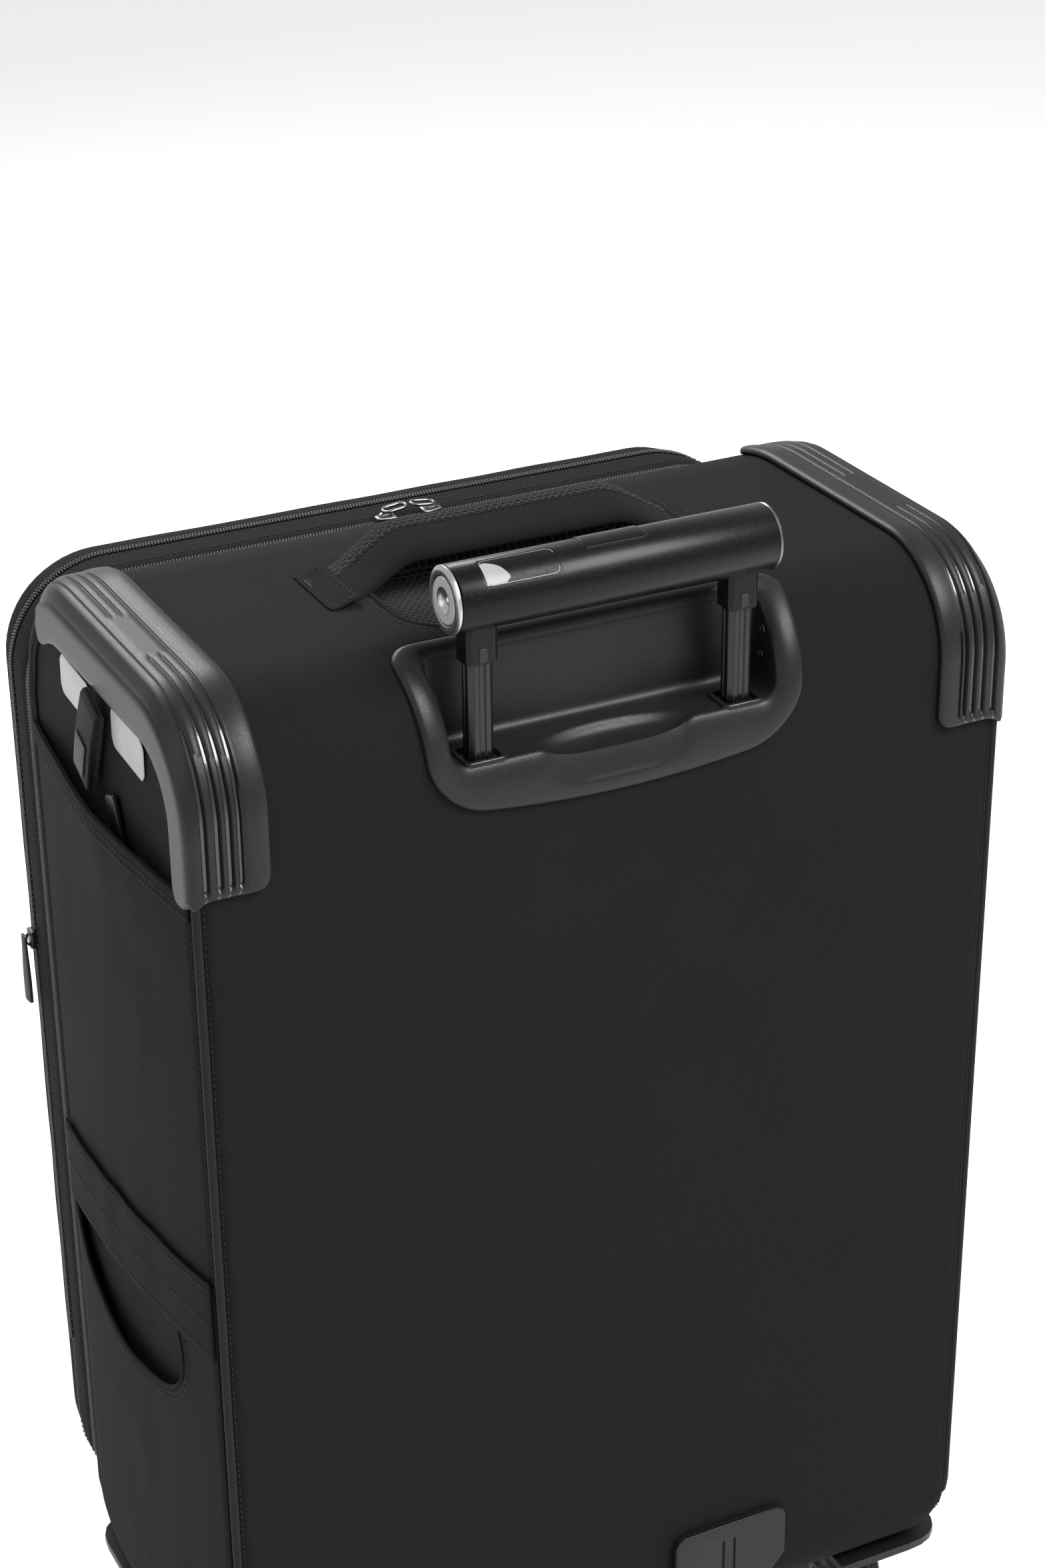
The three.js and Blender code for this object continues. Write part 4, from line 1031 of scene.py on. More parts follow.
cup_loops = [[on_wrap(x, d, out * MM) for x, d in bezel_loop(share)] for share, out in BEZEL_RISE]
mouth = cup_loops[-1]
wall_y = BACK - CUP_DEPTH
FILLET = 5.5 * MM
for step in range(1, 21):
    cup_loops.append([Vector((p.x, between(p.y, min(wall_y + FILLET, p.y), step / 20), p.z)) for p in mouth])
wall_z = (TOP + CUP_FLOOR) / 2 - 2 * MM
for angle in (25, 50, 75, 90):
    turn_in, deep = FILLET * (1 - cos(radians(angle))), sin(radians(angle))
    cup_loops.append([Vector((
        p.x * (1 - turn_in / CUP_HALF), between(min(wall_y + FILLET, p.y), wall_y, deep),
        between(p.z, wall_z, turn_in / (25 * MM)))) for p in mouth])

cup_build = bmesh.new()
bridge(cup_build, [add_loop(cup_build, [dipped(p) for p in ring]) for ring in cup_loops])
cup_build.faces.new(cup_build.verts[-len(cup_loops[-1]):])
bmesh.ops.remove_doubles(cup_build, verts=cup_build.verts, dist=0.02 * MM)
outward(cup_build, lambda f: f.normal.y * f.calc_area())


def tube_hole(side):
    """The opening a handle leg needs in the cup's floor, as two corners."""
    low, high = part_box(f"middle_tube_{side}")
    gap = Vector((0.9 * MM, 0.9 * MM, 0))
    return low - gap, high + gap


def open_floor(build, low, high):
    for value, axis in ((low.x, 0), (high.x, 0), (low.y, 1), (high.y, 1)):
        place, normal = Vector((0, 0, 0)), Vector((0, 0, 0))
        place[axis], normal[axis] = value, 1
        near = [f for f in build.faces if abs(f.calc_center_median().z - CUP_FLOOR) < 14 * MM
                and low.x - 14 * MM < f.calc_center_median().x < high.x + 14 * MM]
        edges, verts = {e for f in near for e in f.edges}, {v for f in near for v in f.verts}
        bmesh.ops.bisect_plane(build, geom=near + list(edges) + list(verts), plane_co=place, plane_no=normal,
                               dist=0.001 * MM)
    inside = []
    for face in build.faces:
        c = face.calc_center_median()
        if low.x < c.x < high.x and low.y < c.y < high.y and abs(c.z - CUP_FLOOR) < 9 * MM:
            inside.append(face)
    bmesh.ops.delete(build, geom=inside, context="FACES")


for name, side in SIDES:
    open_floor(cup_build, *tube_hole(name))
box_map(cup_build)
thicken(finish_piece("cup_moulding", cup_build, moulding, "moulded_plastic", "case", ["handle_cup"], 50),
        1.2 * MM)

# %% [markdown]
# ## Handle tubes
# Each leg of the handle is three drawn tubes, one in another. The inner one shows in the cup. It has flat
# faces, chamfered corners and a shallow groove down its wide faces, so its section is a short outline that
# is extruded by a sweep along two frames. A raised dark collar runs round the opening where it enters the
# cup's floor.

# %% Handle tubes
def upright_frames(x, y, low, high):
    up = Vector((0, 1, 0))
    return [(Vector((x, y, z)), Vector((1, 0, 0)), up) for z in (low, high)]


def tube_section(width, thick, chamfer, groove=0.0):
    a, b, g = width / 2, thick / 2, groove
    side = [(a, -b + chamfer), (a, -1.2 * MM), (a - g, -0.8 * MM), (a - g, 0.8 * MM), (a, 1.2 * MM),
            (a, b - chamfer)]
    face = [(a - chamfer, b), (1.7 * MM, b), (1.3 * MM, b - g), (-1.3 * MM, b - g), (-1.7 * MM, b),
            (chamfer - a, b)]
    return side + face + [(-x, -y) for x, y in side + face]


def capped(build):
    bmesh.ops.holes_fill(build, edges=[e for e in build.edges if e.is_boundary], sides=0)
    face_out(build)
    return build


for name, side in SIDES:
    for stage, body, chamfer in (("inner", "handle_grip", 2.4 * MM), ("middle", "handle_middle", 2.2 * MM)):
        low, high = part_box(f"{stage}_tube_{name}")
        x, y = (low.x + high.x) / 2, (low.y + high.y) / 2
        section = tube_section(high.x - low.x, high.y - low.y, chamfer, 0.5 * MM)
        build = capped(sweep(upright_frames(x, y, low.z, high.z), section, closed_section=True))
        tube = finish_piece(f"tube_{stage}_{name}", build, drawn_tube, "tube_aluminium", body,
                            [f"{stage}_tube_{name}"], 25)
        round_edges(tube, 0.25 * MM, 2, 20)
    hole_low, hole_high = tube_hole(name)
    edge = 1.4 * MM
    ring = rounded_outline(hole_low.x - edge, hole_low.y - edge, hole_high.x + edge, hole_high.y + edge,
                           2.4 * MM, steps=4)
    ring = [Vector((u, v, CUP_FLOOR + 0.1 * MM)) for u, v in ring]
    swept(f"tube_collar_{name}", ring, Vector((0, 0, 1)), flat_section(1.5, -0.8, 1.2, 0.6, 0.6),
          dark_plastic, "moulded_plastic", "case", sharp=45)

# %% [markdown]
# ## Grip
# The grip is a turned barrel with two legs. Its ends carry silver rings, and the pocket-side end holds the
# torch: a grey ring with a bright dished reflector. The barrel and the rings are spun from profiles. The
# legs are sweeps of a chamfered section, each with a small pressed window under the barrel.

# %% Grip barrel and legs
bezel_low, bezel_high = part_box("torch_bezel")
GRIP_RADIUS = (bezel_high.z - bezel_low.z) / 2
AXIS = Vector((0, (bezel_low.y + bezel_high.y) / 2, (bezel_low.z + bezel_high.z) / 2))
GRIP_HALF = bezel_high.x - 2.6 * MM
POST_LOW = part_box("grip_shell")[0].z
post_width, post_thick = 16.5 * MM, 14.5 * MM
TUBE_X = (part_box("inner_tube_right")[0].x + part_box("inner_tube_right")[1].x) / 2

barrel_profile = [
    (-GRIP_HALF, 13.2 * MM), (-GRIP_HALF, GRIP_RADIUS - 0.9 * MM),
    (-GRIP_HALF + 0.3 * MM, GRIP_RADIUS - 0.3 * MM),
    (-GRIP_HALF + 0.9 * MM, GRIP_RADIUS), (0, GRIP_RADIUS), (GRIP_HALF - 0.9 * MM, GRIP_RADIUS),
    (GRIP_HALF - 0.3 * MM, GRIP_RADIUS - 0.3 * MM), (GRIP_HALF, GRIP_RADIUS - 0.9 * MM),
    (GRIP_HALF, 13.2 * MM),
    (-GRIP_HALF, 13.2 * MM),
]
finish_piece("grip_barrel", turned(barrel_profile, AXIS, steps=96), anodised, "tube_aluminium",
             "handle_grip", ["grip_shell"], 30)
for name, side in SIDES:
    section = tube_section(post_width, post_thick, 2.2 * MM, 0.0)
    frames = upright_frames(side * TUBE_X, AXIS.y, POST_LOW, AXIS.z - 5 * MM)
    leg = finish_piece(f"grip_leg_{name}", capped(sweep(frames, section, True)), anodised, "tube_aluminium",
                       "handle_grip", (), 25)
    round_edges(leg, 0.5 * MM, 3, 20)
    window = bmesh.new()
    place = boxed((side * TUBE_X, AXIS.y + post_thick / 2, POST_LOW + 4.6 * MM),
                  (4.2 * MM, 0.8 * MM, 7 * MM))
    bmesh.ops.create_cube(window, size=1, matrix=place)
    round_edges(finish_piece(f"leg_window_{name}", window, dark_plastic, "tube_aluminium", "handle_grip"),
                0.3 * MM)

# %% Grip rings and torch
def at_end(points):
    return [(GRIP_HALF + along * MM, radius * MM) for along, radius in points]


outer = GRIP_RADIUS / MM
torch_ring_profile = at_end([
    (0.2, 12.0), (0.2, outer - 0.6), (0.5, outer - 0.1), (0.9, outer + 0.05), (1.5, outer - 0.05),
    (2.2, outer - 0.9), (2.6, outer - 2.2), (2.6, 12.6), (2.3, 12.0), (0.2, 12.0),
])
finish_piece("torch_ring", turned(torch_ring_profile, AXIS, steps=96), silver, "silver_trim",
             "handle_grip", ["torch_bezel"], 35)
torch_face_profile = at_end([
    (-0.8, 0.0), (-0.8, 11.4), (2.1, 11.4), (2.5, 11.0), (2.5, 6.4), (2.2, 6.0), (1.4, 5.2), (0.4, 3.6),
    (-0.1, 1.8),
    (-0.2, 0.0),
])
finish_piece("torch_face", turned(torch_face_profile, AXIS, steps=96), torch_metal, "silver_trim",
             "torch_switch", ["torch_head"], 35)
dish_profile = at_end([(2.62, 6.6), (2.5, 6.1), (1.6, 5.1), (0.6, 3.6), (0.1, 1.8), (0.0, 0.0)])
finish_piece("torch_reflector", turned(dish_profile, AXIS, steps=48), silver, "silver_trim", "torch_switch",
             (), 60)
lamp_profile = at_end([(-0.2, 0.0), (-0.2, 1.4), (0.3, 1.3), (0.7, 0.8), (0.85, 0.0)])
lamp_glass, lamp_shader = start_finish("torch_lamp", Base_Color=(0.85, 0.93, 1.0, 1), Roughness=0.05,
                                       Coat_Weight=0.6)
feed(lamp_shader, Normal=raise_surface(grain(lamp_glass, 1 * MM), 0.02 * MM, 0.3))
finish_piece("torch_emitter", turned(lamp_profile, AXIS, steps=32), lamp_glass, "silver_trim",
             "torch_switch")

far_ring_profile = [(-GRIP_HALF - a * MM, r * MM) for a, r in [
    (0.1, 12.0), (0.1, outer - 0.4), (0.6, outer + 0.05), (1.2, outer - 0.1), (1.7, outer - 1.0),
    (1.7, outer - 2.0),
    (2.2, outer - 2.6), (2.4, outer - 4), (2.4, 0.0),
]]
finish_piece("grip_far_ring", turned(far_ring_profile, AXIS, steps=96), slider_metal, "silver_trim",
             "handle_grip", ["grip_end_cap"], 35)

# %% [markdown]
# ## Release button and sticker
# Both lie on the round barrel, so they are cut flat and rolled on to it. The button stands on a dark patch
# a little larger than itself, painted shade for the thin gap round it. The sticker is a plain dark film
# with a pale outline and wedge, and only marks the torch end.

# %% Release button and sticker
def on_barrel(along, arc_length, lift, heading=0.0):
    """A point of a patch rolled on to the barrel. Heading 0 is straight up, and it grows backwards."""
    angle = heading + arc_length / GRIP_RADIUS
    reach = GRIP_RADIUS + lift
    return AXIS + Vector((along, reach * sin(angle), reach * cos(angle)))


def barrel_patch(name, outline, lift, heading, finish, slot, body, stands_for=(), thickness=0.0,
                 step=1.5 * MM):
    build = cut_panel(outline, step, 2.5 * step)
    lay(build, lambda u, v: on_barrel(u, v, lift, heading))
    outward(build, lambda f: (f.calc_center_median() - AXIS).dot(f.normal))
    patch = finish_piece(name, build, finish, slot, body, stands_for)
    if thickness:
        thicken(patch, thickness)
    return patch


button_line = rounded_outline(-16.2 * MM, -7.2 * MM, 16.2 * MM, 7.2 * MM, 2.2 * MM, steps=4)
# A dark patch just larger than the button: painted shade for the thin gap round it.
gap_shade_line = rounded_outline(-17 * MM, -8 * MM, 17 * MM, 8 * MM, 2.8 * MM, steps=4)
barrel_patch("button_gap_painted_shade", gap_shade_line, 0.04 * MM, 0, dark_plastic, "tube_aluminium", "handle_grip")
button = barrel_patch("release_button", button_line, 0.5 * MM, 0, anodised, "tube_aluminium", "release",
                      ["grip_button"], 1.6 * MM)
round_edges(button, 0.35 * MM, 3, 50)

STICKER_LOW, STICKER_HIGH, STICKER_TALL = 31 * MM, 71 * MM, 8.6 * MM
STICKER_HEADING = radians(32)
film_line = rounded_outline(STICKER_LOW, -STICKER_TALL, STICKER_HIGH, STICKER_TALL, 4 * MM, steps=6)
barrel_patch("sticker_film", film_line, 0.06 * MM, STICKER_HEADING, label_film, "tube_aluminium",
             "handle_grip")
wedge_line = [(STICKER_HIGH - 1.2 * MM, STICKER_TALL - 1.6 * MM),
              (STICKER_HIGH - 11 * MM, STICKER_TALL - 1.6 * MM)]
wedge_line += arc((STICKER_HIGH - 1.2 * MM, STICKER_TALL - 1.6 * MM), 12.5 * MM, 190, 262, 8)
wedge_line += [(STICKER_HIGH - 1.2 * MM, -STICKER_TALL + 4 * MM)]
barrel_patch("sticker_wedge", wedge_line, 0.12 * MM, STICKER_HEADING, label_ink, "tube_aluminium",
             "handle_grip")
line_loop = rounded_outline(STICKER_LOW + 1.4 * MM, -STICKER_TALL + 1.4 * MM, STICKER_HIGH - 1.4 * MM,
                            STICKER_TALL - 1.4 * MM, 3 * MM, steps=6)
line_points = [on_barrel(u, v, 0.14 * MM, STICKER_HEADING) for u, v in line_loop]
line_ups = [(p - AXIS - Vector((p.x - AXIS.x, 0, 0))).normalized() for p in line_points]
line_section = [(-0.14 * MM, 0), (0, 0.03 * MM), (0.14 * MM, 0)]
swept("sticker_line", line_points, line_ups, line_section, label_ink, "tube_aluminium", "handle_grip",
      sharp=40, closed=False)

# %% [markdown]
# ## Carry handle
# The top handle is a padded strap, bowed over the hollow and sewn down at both ends. The back of it is
# shell fabric, the front spacer mesh, and a seam joins them on top. A closed section changes along an arch,
# so it is a grid of (round, along) that is moved into place. Creases run across where the strap bends down.

# %% Carry handle
STRAP_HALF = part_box("top_handle")[1].x
STRAP_BACK, STRAP_FRONT = 92 * MM, 138 * MM
STRAP_MIDDLE = (STRAP_BACK + STRAP_FRONT) / 2
ROUND_STEPS, LONG_STEPS = 40, 120
SEAM_ANGLE = 78


def signed_power(value, power):
    return copysign(abs(value) ** power, value)


def strap_surface(along, angle, lift=0.0):
    """A point of the handle's skin, from a place along it and an angle round its section."""
    x = along
    rise = ease(STRAP_HALF - abs(x), 3 * MM, 52 * MM)
    top = TOP + 1.0 * MM + 19.5 * MM * rise ** 0.9
    gap = ease(STRAP_HALF - 16 * MM - abs(x), 0, 36 * MM)
    bottom = TOP - 3 * MM + 12.5 * MM * gap
    half_high = max((top - bottom) / 2, 0.8 * MM)
    half_wide = (STRAP_FRONT - STRAP_BACK) / 2 - 1.5 * MM * (1 - rise) - 7.5 * MM * rise
    centre = STRAP_MIDDLE + 7 * MM * rise
    c, s = cos(angle), sin(angle)
    crease = drift(x / (5 * MM), angle * 1.2, 0.4) * 0.55 * MM * (1 - rise) * 1.6
    crease += drift(x / (22 * MM), angle, 5.4) * 0.5 * MM
    groove = 0.9 * MM * exp(-((degrees(angle) - SEAM_ANGLE) / 3.2) ** 2)
    swell = 1 + (lift + crease - groove) / half_high
    depth = centre + half_wide * signed_power(c, 0.72) * (1 + (lift - groove * 0.2) / half_wide)
    z = (top + bottom) / 2 + half_high * signed_power(s, 0.72) * swell
    tilt = (depth - centre) * 0.3 * max((z - TOP) / (21 * MM), 0)
    return Vector((x, BACK - depth, z + tilt))


handle_build = bmesh.new()
bmesh.ops.create_grid(handle_build, x_segments=ROUND_STEPS, y_segments=LONG_STEPS, size=0.5)
flat_map = handle_build.loops.layers.uv.verify()
places = {}
for vert in handle_build.verts:
    angle = (vert.co.x + 0.5) * 2 * pi - pi / 2
    places[vert] = (angle, -STRAP_HALF + (vert.co.y + 0.5) * 2 * STRAP_HALF)
for face in handle_build.faces:
    for corner in face.loops:
        angle, along = places[corner.vert]
        corner[flat_map].uv = (along, angle * 17 * MM)
    middle_angle = degrees(sum(places[v][0] for v in face.verts) / 4)
    face.material_index = 1 if -60 < middle_angle < SEAM_ANGLE else 0
for vert, (angle, along) in places.items():
    vert.co = strap_surface(along, angle)
bmesh.ops.remove_doubles(handle_build, verts=handle_build.verts, dist=0.01 * MM)
face_out(handle_build)
carry_handle = finish_piece("carry_handle", handle_build, shell, "shell_fabric", "case", ["top_handle"], 70)
carry_handle.data.materials.append(spacer)

for offset in (-5.5, 5.5):
    angle = radians(SEAM_ANGLE + offset)
    places_along = [(4 * i - 88) * MM for i in range(45)]
    line = [strap_surface(x, angle) for x in places_along]
    ups = [(strap_surface(x, angle, 1 * MM) - p).normalized() for x, p in zip(places_along, line)]
    stitches += stitch_matrices(line, ups)
print("carry handle spans", round(2 * STRAP_HALF, 3))

# %% [markdown]
# ## Outline of a side
# Both sides are flat panels inside a piped edge. Their outline is the wrap's own profile, lowered by the
# same rounding that softens the long edges, so that panel, piping and wrap meet all the way round.

# %% Outline of a side
def side_outline(inset, spacing=9 * MM):
    """The side's outline as (depth, z) points, from the front edge over the top and round to the front."""
    count = round(wrap_track.length / spacing)
    points = []
    for i in range(count + 1):
        depth, z = wrap_track.at(wrap_track.length * i / count, -inset)
        if depth <= DEPTH - inset:
            points.append((depth, soften(HALF, BACK - depth, z).z))
    depth, z = wrap_track.at(0, -inset)
    last = wrap_track.at(wrap_track.length, -inset)[1]
    front = DEPTH - inset
    top_z = soften(HALF, BACK - front, z).z
    low_z = soften(HALF, BACK - front, last).z
    return [(front, top_z)] + points + [(front, low_z)]


outline = side_outline(0)
print("side outline", len(outline), "points, front edge", round(outline[-1][1], 3), "to",
      round(outline[0][1], 3))

# %% [markdown]
# ## Side panels
# The pocket side has a plain panel under its pockets. The other side has none, and its padding swells over
# the whole middle. Both are cut flat, trimmed to the outline and pushed out by a smooth bow.

# %% Side panels
def side_point(side, depth, z, out):
    return Vector((side * (HALF + out), BACK - depth, z))


def bow(depth, z, low, high, reach):
    run = min(max((depth - 5 * MM) / (DEPTH - 10 * MM), 0), 1)
    return reach * sin(pi * run) ** 0.8 * ease(z, low, low + 60 * MM) * ease(z, high, high - 60 * MM)


def side_lift(side, depth, z):
    ripple = drift(depth / (60 * MM), z / (90 * MM), side * 4.0) * 0.6 * MM
    swell = bow(depth, z, BASE + 4 * MM, TOP - 40 * MM, 7.2 * MM) if side < 0 else 0
    return -0.4 * MM + swell + ripple


PANEL_INSET = 4.2 * MM
for name, side in SIDES:
    build = flat_panel(0, DEPTH, BASE - 2 * MM, TOP, 7 * MM)
    trim(build, side_outline(PANEL_INSET), near=12 * MM)
    lay(build, lambda depth, z, side=side: side_point(side, depth, z, side_lift(side, depth, z)))
    outward(build, lambda f: f.normal.x * side)
    panel = finish_piece(f"side_cloth_{name}", build, shell, "shell_fabric", "case", [f"side_panel_{name}"])
    thicken(panel, 1.4 * MM)

# %% [markdown]
# ## Piping
# A ribbed cord is bound into the seam all round each side. The cord is a round section swept along the
# outline. A flat flange lies inside it on the side panel, held by a row of stitches, and the wrap has its
# own row.

# %% Piping
def side_ring(side, inset, out, spacing=5 * MM):
    points = [side_point(side, depth, z, out) for depth, z in side_outline(inset)]
    return resample(points + points[:1], spacing)[:-1]


for name, side in SIDES:
    cord_section = round_section(2.2 * MM, 10, (side * 1.3 * MM, -0.9 * MM))
    ring = side_ring(side, 0, 0)
    out = Vector((side, 0, 0))
    swept(f"piping_{name}", ring, out, cord_section, piping_cloth, "webbing", "case",
          stands_for=[f"side_piping_{name}"])
    flange_section = [(side * 3.0 * MM, -0.6 * MM), (side * 3.4 * MM, 0.35 * MM),
                      (side * 7.6 * MM, 0.55 * MM),
                      (side * 8.2 * MM, 0.35 * MM), (side * 8.3 * MM, -0.3 * MM)]
    flange = sweep(ring_frames(ring, [out] * len(ring)), flange_section)
    if side < 0:
        bmesh.ops.translate(flange, vec=(-0.3 * MM, 0, 0), verts=flange.verts)
    finish_piece(f"piping_flange_{name}", flange, hem_cloth, "shell_fabric", "case")
    stitch_ring = side_ring(side, 5.8 * MM, 0.7 * MM)
    stitches += stitch_matrices(stitch_ring + stitch_ring[:1], out)
    edge_x = side * (HALF - 4 * MM)
    edge_line = [wrap_frame(edge_x, wrap_track.length * (0.02 + 0.96 * i / 260), 0.1 * MM)
                 for i in range(261)]
    stitches += stitch_matrices([p for p, _ in edge_line], [u for _, u in edge_line])

# %% [markdown]
# ## Side pockets
# The upper pocket is a sheet sewn in at three sides, with a turned hem along its gaping mouth. The lower
# pocket has a half-moon opening under a grab band that slants down towards the front. All are cut flat in
# (depth, z) and bowed out. `pocket_out` says how far each point stands off the side panel.

# %% Side pockets
MOUTH_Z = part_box("upper_pocket")[1].z
BAND_BACK_Z, BAND_FRONT_Z, BAND_TALL = 391 * MM, 361 * MM, 47 * MM


def band_top(depth):
    return between(BAND_BACK_Z, BAND_FRONT_Z, depth / DEPTH)


def pocket_out(depth, z, reach=6.0 * MM):
    run = min(max((depth - 6 * MM) / (DEPTH - 12 * MM), 0), 1)
    gape = 4.2 * MM * exp(-((depth - 112 * MM) / (58 * MM)) ** 2) * ease(z, MOUTH_Z - 70 * MM, MOUTH_Z)
    folds = drift(depth / (26 * MM), z / (110 * MM), 8.0) * 0.9 * MM
    folds += drift(depth / (70 * MM), z / (40 * MM), 2.0) * 0.7 * MM
    return 0.5 * MM + reach * sin(pi * run) ** 0.7 + gape + folds * sin(pi * run)


SHEET_STEP = 6 * MM


def pocket_sheet(name, outline_points, lift, finish, stands_for=(), hole=None, step=SHEET_STEP):
    build = cut_panel(outline_points, step)
    if hole:
        trim(build, hole, keep_inside=False, near=2 * step)
    lay(build, lambda depth, z: side_point(1, depth, z, pocket_out(depth, z) + lift))
    outward(build, lambda f: f.normal.x)
    piece = finish_piece(name, build, finish, "shell_fabric", "case", stands_for)
    return thicken(piece, 1.2 * MM)


def clipped(points, inset):
    """An outline kept inside the side's own outline, sampled finely enough to bend with it."""
    line = side_outline(inset)
    upper = [p for p in line if p[1] > MIDDLE][::-1]
    lower = [p for p in line if p[1] <= MIDDLE]
    kept = []
    for depth, z in points:
        top_z = np.interp(depth, [p[0] for p in upper], [p[1] for p in upper])
        low_z = np.interp(depth, [p[0] for p in lower], [p[1] for p in lower])
        kept.append((depth, min(max(z, low_z), top_z)))
    return kept


POCKET_BACK, POCKET_FRONT = 5 * MM, DEPTH - 5 * MM
upper_line = [(POCKET_BACK, MOUTH_Z), (POCKET_BACK, band_top(POCKET_BACK) - 8 * MM),
              (POCKET_FRONT, band_top(POCKET_FRONT) - 8 * MM), (POCKET_FRONT, MOUTH_Z)]
pocket_sheet("upper_pocket_cloth", upper_line, 0, shell, ["upper_pocket"])
across = [POCKET_BACK + (POCKET_FRONT - POCKET_BACK) * i / 40 for i in range(41)]
hem_line = [(d, MOUTH_Z + 0.6 * MM) for d in across] + [(d, MOUTH_Z - 11 * MM) for d in across[::-1]]
round_edges(pocket_sheet("upper_pocket_hem", hem_line, 1.3 * MM, hem_cloth, step=4 * MM), 0.4 * MM, 2)


def curve(points, steps=10):
    """A smooth line through given points (Catmull-Rom)."""
    made = []
    padded = [points[0]] + list(points) + [points[-1]]
    for a, b, c, d in zip(padded, padded[1:], padded[2:], padded[3:]):
        for i in range(steps):
            t = i / steps
            weights = (((2 - t) * t - 1) * t, (3 * t - 5) * t * t + 2,
                       ((4 - 3 * t) * t + 1) * t, (t - 1) * t * t)
            made.append(tuple(sum(w * p[k] for w, p in zip(weights, (a, b, c, d))) / 2 for k in (0, 1)))
    return made + [points[-1]]


def under_band(depth, drop):
    return depth * MM, band_top(depth * MM) - BAND_TALL - drop * MM


moon_curve = curve([under_band(219, 1), under_band(210, 18), under_band(193, 36), under_band(163, 50),
                    under_band(125, 56), under_band(90, 53), under_band(64, 45), under_band(50, 33),
                    under_band(46, 18), under_band(50, 1)], 7)
moon_top = [under_band(d, 1) for d in (90, 120, 150, 180)]
moon = moon_curve + moon_top
low_front = [(d, BASE + 7 * MM) for d in across]
lower_line = [(d, band_top(d) - 4 * MM) for d in across[::-1]] + clipped(low_front, 5 * MM)
pocket_sheet("lower_pocket_cloth", lower_line, 0.9 * MM, shell, ["lower_pocket"], hole=moon)
band_line = [(d, band_top(d)) for d in across] + [(d, band_top(d) - BAND_TALL) for d in across[::-1]]
round_edges(pocket_sheet("grab_band", band_line, 3.0 * MM, hem_cloth, step=5 * MM), 0.5 * MM, 2)


def on_pocket(points, lift):
    return [side_point(1, depth, z, pocket_out(depth, z) + lift) for depth, z in points]


moon_path = on_pocket(moon_curve, 1.0 * MM)
swept("moon_binding", moon_path, Vector((1, 0, 0)), round_section(1.1 * MM), hem_cloth, "shell_fabric",
      "case", ring=False)


def offset_curve(points, away):
    made = []
    for i, p in enumerate(points):
        a, b = points[max(i - 1, 0)], points[min(i + 1, len(points) - 1)]
        run = Vector((b[0] - a[0], b[1] - a[1])).normalized()
        made.append((p[0] - run.y * away, p[1] + run.x * away))
    return made


rows = [([(d, MOUTH_Z - 5 * MM) for d in across], 1.5 * MM),
        ([(d, MOUTH_Z - 9 * MM) for d in across], 1.5 * MM)]
rows += [([(d, band_top(d) - drop * MM) for d in across], 3.2 * MM) for drop in (4, 24, 43)]
rows += [(offset_curve(moon_curve, away), 1.1 * MM) for away in (3.4 * MM, 6.4 * MM)]
for row, lift in rows:
    stitches += stitch_matrices(on_pocket(row, lift), Vector((1, 0, 0)))
print("stitches so far", len(stitches))

# %% [markdown]
# ## Patches, tag loop and strap hook
# Two reflective patches lie on the side above the pocket. A ribbed webbing loop with a blank label hangs
# over them and swings. The hook for a bag strap peeps out of the pocket's mouth.

# %% Patches, tag loop and strap hook
def side_patch(name, points, lift, finish, thickness):
    build = cut_panel(points, 3 * MM)
    lay(build, lambda depth, z: side_point(1, depth, z, lift))
    outward(build, lambda f: f.normal.x)
    return round_edges(thicken(finish_piece(name, build, finish, "silver_trim", "case"), thickness),
                       0.2 * MM)


def tilted(points, centre, angle):
    c, s = cos(angle), sin(angle)
    return [(centre[0] + a * c - b * s, centre[1] + a * s + b * c) for a, b in points]


patch_shape = rounded_outline(-22 * MM, -11 * MM, 22 * MM, 11 * MM, 6 * MM, steps=5)
side_patch("reflector_back", tilted(patch_shape, (78 * MM, 650 * MM), 0.05), 0.7 * MM, reflector, 0.5 * MM)
side_patch("reflector_front", tilted(patch_shape, (152 * MM, 648 * MM), 0.05), 0.7 * MM, reflector, 0.5 * MM)

tag_low, tag_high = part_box("tag_loop")
TAG_LEAN, TAG_LONG, TAG_WIDE = 0.42, 55 * MM, 20 * MM
tag_middle = (tag_low + tag_high) / 2
lean = Matrix.Rotation(-TAG_LEAN, 3, "X")
loop_line = rounded_outline(-2.0 * MM, -TAG_LONG / 2 + 0.8 * MM, 2.0 * MM, TAG_LONG / 2 - 0.8 * MM, 1.9 * MM,
                            steps=5)
loop_points = resample([Vector((x, 0, z)) for x, z in loop_line + loop_line[:1]], 2.5 * MM)[:-1]
belly_out = [Vector((p.x + (0.9 * MM if p.x > 0 else -0.2 * MM) * cos(pi * p.z / TAG_LONG), 0, p.z))
             for p in loop_points]
loop_points = [tag_middle + lean @ p for p in belly_out]
loop_ups = [(p - (tag_middle + lean @ Vector((0, 0, q.z * 0.97)))).normalized() for p,
            q in zip(loop_points, belly_out)]
swept("tag_webbing", loop_points, loop_ups, flat_section(TAG_WIDE / 2 / MM, -0.6, 0.7, 0.7, 0.3), webbing,
      "webbing", "tag_loop", stands_for=["tag_loop"], sharp=45)
label_build = bmesh.new()
bmesh.ops.create_grid(label_build, x_segments=6, y_segments=10, size=0.5)
box_map(label_build)
for vert in label_build.verts:
    y, z = vert.co.x * 13 * MM, vert.co.y * 22 * MM - 9 * MM
    swell = 0.9 * MM * cos(pi * z / TAG_LONG)
    vert.co = tag_middle + lean @ Vector((2.0 * MM + swell + 1.0 * MM, y, z))
face_out(label_build)
round_edges(thicken(finish_piece("tag_label", label_build, rubber, "webbing", "tag_loop"), 0.8 * MM, 1.0),
            0.3 * MM)


